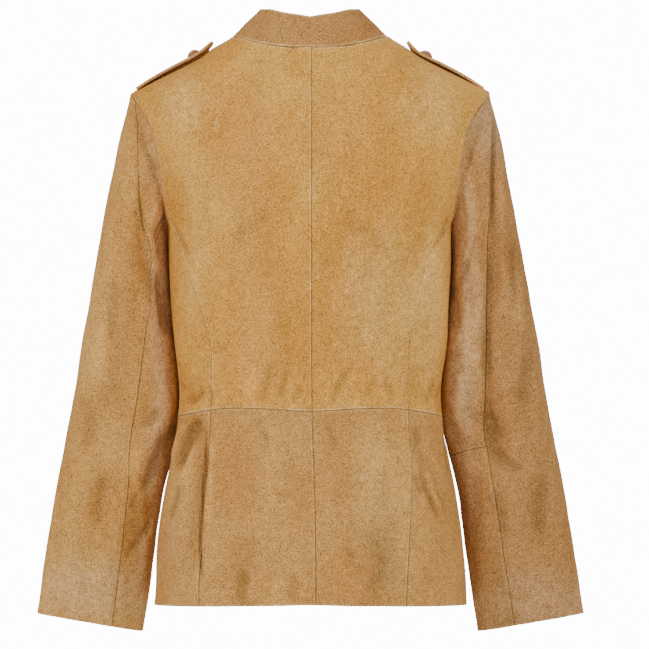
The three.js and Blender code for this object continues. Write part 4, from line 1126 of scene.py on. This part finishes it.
RIGHT_CREASES = (
    Crease(4.4, -3.6, ((203, -62), (205, -84), (205, -112), (204, -150), (202, -185), (200, -215))),
    Crease(4.4, -3.4, ((201, -205), (199, -240), (198, -280), (197, -320), (197, -360), (196, -400))),
    Crease(5, -3.0, ((195, -380), (199, -410), (203, -440), (208, -468))),
    Crease(6, 1.8, ((212, -110), (213, -160), (211, -210))),
    Crease(7, -1.8, ((194, -74), (189, -92), (183, -108), (178, -122), (171, -138))),
    Crease(7, -2.2, ((183, -352), (181, -385), (179, -425))),
    Crease(6, 1.8, ((190, -330), (189, -370), (189, -410))),
    Crease(6, -2.0, ((172, -232), (178, -262), (180, -300))),
    Crease(5, -1.8, ((186, -200), (178, -228), (172, -256))),
    Crease(6, -1.6, ((160, -330), (166, -352), (174, -366))),
    Crease(5, -2.4, ((196, -404), (206, -420), (214, -440))),
    Crease(6, -2.6, ((206, -446), (220, -462), (236, -474))),
    Crease(6, -2.0, ((204, -490), (214, -520), (220, -552))),
    Crease(7, -2.0, ((248, -330), (240, -368), (238, -404))),
    Crease(7, -1.8, ((262, -470), (256, -512), (258, -552))),
    Crease(7, 1.4, ((232, -240), (234, -280), (238, -320))),
    Crease(7, -1.4, ((224, -210), (228, -250), (230, -290))),
    Crease(7, -1.4, ((184, -470), (190, -500), (194, -530))),
)
LEFT_CREASES = (
    Crease(3, -2.6, ((-190, -137), (-190.5, -162), (-186, -185), (-182, -208), (-178, -222))),
    Crease(6, -2.0, ((-200, -59), (-195, -73), (-191, -84), (-186, -108), (-179, -121), (-173, -137), (-166, -155))),
    Crease(2.4, -3.4, ((-160, -180), (-164, -190), (-170, -202), (-176, -214))),
    Crease(2.4, -2.6, ((-158, -184), (-163, -198), (-169, -212), (-175, -224))),
    Crease(4.5, 1.8, ((-168, -176), (-175, -186), (-181, -198))),
    Crease(2.6, -2.2, ((-165, -214), (-168, -224), (-171, -236))),
    Crease(6, -3.0, ((-170, -240), (-167, -270), (-165, -300), (-163, -325))),
    Crease(5, -2.0, ((-178, -236), (-176, -262), (-178, -290))),
    Crease(6, -3.6, ((-160, -420), (-166, -438), (-173, -458), (-180, -478), (-190, -500))),
    Crease(5, -2.2, ((-176, -526), (-190, -548), (-208, -572))),
    Crease(4, -2.0, ((-193, -494), (-197, -508), (-200, -520))),
    Crease(6, 1.8, ((-186, -440), (-192, -462), (-202, -482))),
    Crease(5, -2.2, ((-168, -400), (-176, -414), (-186, -424))),
    Crease(7, -1.8, ((-214, -250), (-220, -290), (-222, -330))),
    Crease(7, -1.8, ((-252, -380), (-246, -420), (-250, -456))),
    Crease(7, -1.6, ((-226, -470), (-236, -500), (-240, -540))),
    Crease(7, 1.4, ((-232, -300), (-236, -340), (-240, -380))),
)


def sleeve_cloth(side):
    creases = creased(RIGHT_CREASES if side > 0 else LEFT_CREASES, sleeve_place(side))
    folds = charted(RIGHT_FOLDS if side > 0 else LEFT_FOLDS, lambda a, z: (math.radians(a) * SLEEVE_CHART, z))

    def surface(angle, z):
        u = np.radians(angle) * SLEEVE_CHART
        around = 2 * math.pi * SLEEVE_CHART
        wide = sum(fold_depth(folds, u + turn * around, z) for turn in (0, 1))
        fine, slow = crease_depth(creases, u, z), 0.8 * swell(angle, z, side)
        start = ease((TIP_Z - z) / FOLD_START)
        normals = sleeve_normals(side, angle, z)
        points = sleeve_surface(side, angle, z) + normals * ((wide + fine + slow) * start)[..., None]
        return points, normals, painted_crease_shade(wide, fine, slow) * start

    return surface


def sleeve_seam(column, turn=0):
    return lambda z: SLEEVE_SEAMS.read(column, z) + turn


def level_run(left_angle, right_angle, z, drop=0):
    """Across the sleeve from its back seam to its front one, lower by drop at the front one."""

    def run(t):
        height = z - drop * np.asarray(t, float)
        angle = left_angle(height) + (right_angle(height) - left_angle(height)) * np.asarray(t, float)
        return np.stack([angle, height + 0 * angle], -1)

    return run


def sleeve_panel(node, side, left_angle, right_angle, low, high, sewn, low_drop=0, high_drop=0, pressed={}):
    outline = (
        level_run(left_angle, right_angle, low, low_drop),
        level_run(left_angle, right_angle, high, high_drop),
        down_seam(left_angle, low, high),
        down_seam(right_angle, low - low_drop, high - high_drop),
    )
    meetings, free = [], []
    if high == TIP_Z:
        from_loop, to_loop = float(left_angle(TIP_Z)), float(right_angle(TIP_Z))
        shared = meeting_on(lambda t: armhole_normals(side, from_loop + (to_loop - from_loop) * t), 0, 1)
        meetings = [Meeting("top", shared)]
    if low == CUFF_Z:
        free = ["bottom"]
    piece, lines = panel("suede_" + node, SLEEVE_CLOTHS[side], outline, SLEEVE_SUEDES[side], meetings, free, pressed)
    stitches = stitching("stitches_" + node, [lines[edge] for edge in sewn])
    body = "back_" + side_name(side)
    hangs_from = [body] if high == TIP_Z else ["sleeve_under_" + side_name(side)]
    sew(piece, node, hangs_from)


RIGHT_SPOTS = (
    Spot(262, -500, 50, 70, (176, 126, 74), 0.35),
    Spot(262, -618, 90, 50, (205, 164, 118), 0.55),
    # Painted light: the next three spots pale the sleeve's inner side next to the body, where shade falls.
    Spot(168, -300, 26, 200, (240, 198, 140), 0.8),
    Spot(172, -520, 20, 120, (206, 164, 118), 0.5),
    Spot(160, -200, 24, 90, (226, 182, 126), 0.5),
    Spot(218, -84, 70, 56, (218, 182, 140), 0.45),
    # Painted shade: a darker band down the sleeve cap beside the armhole.
    Spot(176, -120, 14, 50, (186, 128, 72), 0.4),
)
LEFT_SPOTS = (
    # Painted shade: a darker band down the sleeve cap beside the armhole.
    Spot(-183, -115, 12, 60, (178, 128, 78), 0.45),
    # Painted light: the next three spots pale the sleeve's inner side next to the body, where shade falls.
    Spot(-162, -290, 22, 170, (220, 178, 134), 0.75),
    Spot(-168, -470, 22, 100, (222, 180, 134), 0.7),
    Spot(-184, -590, 18, 80, (216, 172, 124), 0.5),
    # Painted shade: more of the darker band beside the armhole.
    Spot(-172, -130, 18, 60, (190, 144, 98), 0.5),
    Spot(-246, -606, 90, 50, (214, 176, 126), 0.55),
)
# The right sleeve's suede is darker than the left's, partly as painted shade for the sleeve turned away from the key
# lamp.
SLEEVE_SUEDES = {
    1: suede("right sleeve suede", linear(190, 142, 86), linear(181, 130, 74), linear(167, 116, 62), (0.7, 0, 0.4),
             RIGHT_SPOTS, 0.3),
    -1: suede("left sleeve suede", linear(211, 160, 90), linear(203, 148, 76), linear(190, 135, 68), (0, 0.4, 0.8),
              LEFT_SPOTS, 0.3),
}
SLEEVE_CLOTHS = {side: sleeve_cloth(side) for side in SIDES}
FRONT_SEAM = sleeve_seam("front")
for side in SIDES:
    name = side_name(side)
    back_seam = sleeve_seam(name)
    pressed = {"left": 0 if side > 0 else PRESSED}
    sewn = ["right"] + (["left"] if side < 0 else [])
    sleeve_panel("sleeve_upper_" + name, side, back_seam, sleeve_seam("front", -360), CUFF_Z, TIP_Z,
                 sewn, 0, 0, pressed)
pressed = {"left": 0}
sleeve_panel("sleeve_under_left", -1, sleeve_seam("left"), FRONT_SEAM, CUFF_Z, TIP_Z,
             ["right"], PIECING_DROP, 0, pressed)
pressed = {"left": PRESSED}
sleeve_panel("sleeve_under_right", 1, sleeve_seam("right"), FRONT_SEAM, PIECING_Z, TIP_Z,
             ["left", "right", "bottom"], PIECING_DROP, 0, pressed)
sleeve_panel("sleeve_under_cuff_right", 1, sleeve_seam("right"), FRONT_SEAM, CUFF_Z, PIECING_Z,
             ["left", "right", "top"], PIECING_DROP, PIECING_DROP, pressed)

# Collar
# One stand band of two plies, browner than the body, that leans in round the neck.
COLLAR_WALL = 2.6
COLLAR_MEET = 1
COLLAR_STAND = Table(
    "angle lean rise",
    (0, 12, 35.5),
    (20, 14, 38),
    (45, 20, 38.7),
    (70, 28, 33),
    (90, 31.5, 29.8),
    (135, 22, 33),
    (180, 12, 35),
)
COLLAR_BELLY = 1.2
COLLAR_SHARE = 0.42


def collar_form(along, up):
    """along runs from the left front (-1) round the back (0) to the right front (1), and up from 0 to 1."""
    side, t = np.where(along < 0, -1.0, 1.0), np.abs(along)
    back = back_neckline(side)(np.clip(t / COLLAR_SHARE, 0, 1))
    front = front_neckline(side, COLLAR_MEET)(np.clip((1 - t) / (1 - COLLAR_SHARE), 0, 1))
    place = np.where((t < COLLAR_SHARE)[..., None], back, front)
    foot = torso_form(place[..., 0], place[..., 1])
    round_neck = np.degrees(np.abs(np.arctan2(foot[..., 0], -foot[..., 1])))
    inwards = unit(foot * (-1, -1, 0))
    lean = COLLAR_STAND.read("lean", round_neck) * up
    rise = COLLAR_STAND.read("rise", round_neck) * up
    return foot + inwards * lean[..., None] + rise[..., None] * np.array((0, 0, 1))


def collar_cloth(along, up):
    normals = normals_of(collar_form, along, up, 0.004, 0.05)
    form = collar_form(along, up)
    outwards = form * (1, 1, 0)
    normals = np.where((normals * outwards).sum(-1, keepdims=True) < 0, -normals, normals)
    belly = COLLAR_BELLY * np.sin(np.clip(up, 0, 1) * math.pi)
    return form + normals * belly[..., None], normals, 0 * along + 0 * up


collar_suede = suede("collar suede", linear(190, 140, 82), linear(182, 129, 71), linear(171, 117, 62), (0.2, 0.9, 0.1))
outline = (
    line((-1, 0), (1, 0)),
    line((-1, 1), (1, 1)),
    line((-1, 0), (-1, 1)),
    line((1, 0), (1, 1)),
)
piece, lines = panel("suede_collar", collar_cloth, outline, collar_suede, (), ["left", "right", "top"], {},
                     3, COLLAR_WALL)
stitches = stitching("stitches_collar", [lines["bottom"], lines["top"], lines["left"], lines["right"]])
sew(piece, "collar", ["back_left", "back_right", "front_left", "front_right"])

# Shoulder straps
# Each is sewn into the armhole seam, lies along the shoulder and points to the neck.
STRAP_NECK_X, STRAP_TIP_X, STRAP_THICK, STRAP_FORWARD = 105, 193.5, 3, 3
SEAM_GAP = 0.3
STRAP_WIDTHS = Table("x half", (105, 3.5), (108, 9.5), (114, 14.5), (123, 16.5), (193.5, 18.3))
STRAP_LIFTS = Table(
    "x right left thick",
    (105, 5, 4.5, 3.2),
    (116, 2.6, 3.8, 3.2),
    (150, 3.2, 3, 3.2),
    (174, 2, 1.6, 3),
    (193.5, 0, 0, 2.2),
)


def shoulder_height(x, y):
    """Height of the shoulder's surface over a place beside the neck, by halving."""
    low, high = -90 + 0 * x, SIDE_NECK_Z + 0 * x
    for _ in range(30):
        middle = (low + high) / 2
        half, square = TORSO.read("half", middle), TORSO.read("square", middle)
        deep = np.where(y < 0, TORSO.read("back", middle), TORSO.read("front", middle))
        inside = (x / half) ** square + np.abs(y / deep) ** square < 1
        low, high = np.where(inside, middle, low), np.where(inside, high, middle)
    return (low + high) / 2


def strap_cloth(side):
    def surface(x, across):
        x, across = x + 0 * across, across + 0 * x
        y = STRAP_FORWARD + across * STRAP_WIDTHS.read("half", x)
        z = shoulder_height(x, y)
        lift = SEAM_GAP + STRAP_LIFTS.read(side_name(side), x) + STRAP_LIFTS.read("thick", x)
        angle = side * np.where(y < 0, torso_angle(x, z), torso_angle(x, z, "front"))
        normals = torso_normals(angle, z)
        foot = np.stack([side * x, y, z], -1)
        return foot + normals * lift[..., None], normals, 0 * x

    return surface


strap_suede = suede("strap suede", linear(216, 172, 112), linear(208, 160, 98), linear(198, 148, 86), (0.5, 0.2, 0.3))
for side in SIDES:
    outline = (
        line((STRAP_NECK_X, -1), (STRAP_TIP_X, -1)),
        line((STRAP_NECK_X, 1), (STRAP_TIP_X, 1)),
        line((STRAP_NECK_X, -1), (STRAP_NECK_X, 1)),
        line((STRAP_TIP_X, -1), (STRAP_TIP_X, 1)),
    )
    node = "epaulette_" + side_name(side)
    piece, lines = panel("suede_" + node, strap_cloth(side), outline, strap_suede, (),
                         ["left", "bottom", "top"], {}, 2, STRAP_THICK)
    stitches = stitching("stitches_" + node, [lines["left"], lines["bottom"], lines["top"]])
    sew(piece, node, ["sleeve_upper_" + side_name(side)])

# Buttons
# Low domed buttons with a rolled rim: one holds each shoulder strap, and seven close the front.
BUTTON_RADIUS, BUTTON_SIDES = 7.5, 40
RIM_HEIGHT = 1.7
DOME = ((0.9, 0.75), (1.1, 1.0), (1.4, 0.9), (1.6, 0.55), (1.3, 0.25))


def button_finish():
    finish = Finish("button shell", Roughness=0.55, Specular_IOR_Level=0.35, Coat_Weight=0.05)
    tone = finish.noise(finish.place(), 420, 2, 0.6)
    colour = finish.blend(finish.map(tone, 0.35, 0.65), (*linear(170, 108, 66), 1), (*linear(190, 128, 84), 1))
    finish.feed("Base Color", colour)
    return finish.material


def model_button():
    """The button that every button copies: a cylinder whose top face is set in and raised step by step into a dome."""
    bpy.ops.object.select_all(action="DESELECT")
    bpy.ops.mesh.primitive_cylinder_add(
        vertices=BUTTON_SIDES, radius=BUTTON_RADIUS * MM, depth=RIM_HEIGHT * MM, location=(0, 0, 0)
    )
    model = bpy.context.object
    bpy.ops.object.mode_set(mode="EDIT")
    bpy.ops.mesh.select_mode(type="EDGE")
    bpy.ops.mesh.select_all(action="DESELECT")
    bpy.ops.object.mode_set(mode="OBJECT")
    for edge in model.data.edges:
        ends = [model.data.vertices[i].co.z for i in edge.vertices]
        edge.select = abs(ends[0] - ends[1]) < 1e-6
    bpy.ops.object.mode_set(mode="EDIT")
    bpy.ops.mesh.bevel(offset=0.45 * MM, segments=3, profile=0.5)
    bpy.ops.mesh.select_mode(type="FACE")
    bpy.ops.mesh.select_all(action="DESELECT")
    bpy.ops.object.mode_set(mode="OBJECT")
    top = max(model.data.polygons, key=lambda face: face.center.z)
    top.select = True
    bpy.ops.object.mode_set(mode="EDIT")
    for inset, rise in DOME:
        bpy.ops.mesh.inset(thickness=inset * MM, depth=0)
        bpy.ops.transform.translate(value=(0, 0, rise * MM))
    bpy.ops.object.mode_set(mode="OBJECT")
    bpy.ops.object.shade_smooth()
    return model


button_model = model_button()
button_shell = button_finish()


def place_button(node, foot, axis):
    """A copy of the button whose underside's middle is at foot and whose face looks along axis."""
    axis = Vector(axis).normalized()
    turn = axis.to_track_quat("Z", "Y").to_matrix().to_4x4()
    middle = Vector(foot) * MM + axis * (RIM_HEIGHT / 2 * MM)
    mesh = button_model.data.copy()
    mesh.name = "shell_" + node
    mesh.transform(Matrix.Translation(middle) @ turn)
    mesh.materials.clear()
    mesh.materials.append(button_shell)
    piece = bpy.data.objects.new("shell_" + node, mesh)
    bpy.context.scene.collection.objects.link(piece)
    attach(piece, "root")
    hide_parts(node)


STRAP_BUTTON_X = 127
ROUND_TURNS = np.linspace(0, 2 * np.pi, 13)[:-1]
for side in SIDES:
    surface = strap_cloth(side)
    at = lambda x, across: surface(np.array([x]), np.array([across]))[0][0]
    centre = at(STRAP_BUTTON_X, 0)
    along = at(STRAP_BUTTON_X + BUTTON_RADIUS, 0) - at(STRAP_BUTTON_X - BUTTON_RADIUS, 0)
    axis = unit(np.cross(along, at(STRAP_BUTTON_X, 0.4) - at(STRAP_BUTTON_X, -0.4)))
    axis = axis if axis[2] > 0 else -axis
    half = float(STRAP_WIDTHS.read("half", STRAP_BUTTON_X))
    rim = [at(STRAP_BUTTON_X + BUTTON_RADIUS * math.cos(t), BUTTON_RADIUS * math.sin(t) / half) for t in ROUND_TURNS]
    highest = max(0, *((point - centre) @ axis for point in rim))
    place_button("epaulette_button_" + side_name(side), centre + axis * (highest + SEAM_GAP), axis)

BUTTON_TOP_Z, BUTTON_PITCH, BUTTON_COUNT = -82, 78, 7
HOLE_START, HOLE_END, HOLE_HALF = 4, 17, 0.9
holes = []
for index in range(BUTTON_COUNT):
    z = BUTTON_TOP_Z - index * BUTTON_PITCH
    front = lap_cloth(1)

    def at(x, height):
        height = np.asarray(height, float) + 0 * np.asarray(x, float)
        return front(torso_angle(np.asarray(x, float), height, "front"), height)

    centre, axis = (values[0] for values in at(np.array([0.0]), np.array([z]))[:2])
    rim = at(BUTTON_RADIUS * np.cos(ROUND_TURNS), z + BUTTON_RADIUS * np.sin(ROUND_TURNS))[0]
    highest = max(0, ((rim - centre) @ axis).max())
    place_button(f"front_button_{index + 1}", centre + axis * (highest + SEAM_GAP), axis)
    for edge in (-HOLE_HALF, HOLE_HALF):
        way, normals, _ = at(np.linspace(HOLE_START, HOLE_END, 20), z + edge)
        holes.append((way, normals))
stitching("stitches_buttonholes", holes, 0.62, 0.62, True)
bpy.data.objects.remove(button_model)

# Studio
# A pale floor and background, two soft lamps above the camera and a weak one from the side.
camera = bpy.data.objects.new("camera", bpy.data.cameras.new("camera"))
bpy.context.scene.collection.objects.link(camera)
PIXEL_MM = 1.12
CAMERA_DISTANCE = 6000
VIEW_WIDTH = 649 * PIXEL_MM
camera.location = (16.24 * MM, -CAMERA_DISTANCE * MM, -307.4 * MM)
camera.rotation_euler = (math.pi / 2, 0, 0)
camera.data.sensor_width = 36
camera.data.lens = 36 * CAMERA_DISTANCE / VIEW_WIDTH
camera.data.clip_end = 100
bpy.context.scene.camera = camera


def lamp(name, size, power, place, target):
    data = bpy.data.lights.new(name, "AREA")
    data.shape, data.size, data.energy = "DISK", size, power
    thing = bpy.data.objects.new(name, data)
    bpy.context.scene.collection.objects.link(thing)
    thing.location = place
    thing.rotation_euler = (Vector(target) - Vector(place)).to_track_quat("-Z", "Y").to_euler()


MIDDLE = (0, 0, -0.3)
lamp("key lamp", 0.8, 92, (-2.6, -2.6, 1.9), MIDDLE)
lamp("fill lamp", 1.8, 58, (2.7, -3.2, 0.5), MIDDLE)
lamp("front lamp", 2.0, 62, (0.8, 3.6, 1.4), MIDDLE)

# The background is plain white to the camera, and dimmer as a light.
world = bpy.data.worlds.new("studio")
world.use_nodes = True
nodes, links = world.node_tree.nodes, world.node_tree.links
seen = nodes.new("ShaderNodeLightPath")
strength = nodes.new("ShaderNodeMapRange")
strength.inputs["To Min"].default_value = 0.66
strength.inputs["To Max"].default_value = 14
links.new(seen.outputs["Is Camera Ray"], strength.inputs["Value"])
nodes["Background"].inputs["Color"].default_value = (1, 1, 1, 1)
links.new(strength.outputs["Result"], nodes["Background"].inputs["Strength"])
bpy.context.scene.world = world

# The floor lies under the jacket, below what the camera sees.
floor_mesh = bpy.data.meshes.new("floor")
FLOOR_HALF, FLOOR_Z = 4.8, -1.0
floor_mesh.from_pydata(
    [(-FLOOR_HALF, -FLOOR_HALF, FLOOR_Z), (FLOOR_HALF, -FLOOR_HALF, FLOOR_Z),
     (FLOOR_HALF, FLOOR_HALF, FLOOR_Z), (-FLOOR_HALF, FLOOR_HALF, FLOOR_Z)],
    [], [(0, 1, 2, 3)],
)
floor_finish = Finish("pale floor", Base_Color=(0.8, 0.8, 0.8, 1), Roughness=0.9)
floor_mesh.materials.append(floor_finish.material)
floor = bpy.data.objects.new("floor", floor_mesh)
bpy.context.scene.collection.objects.link(floor)
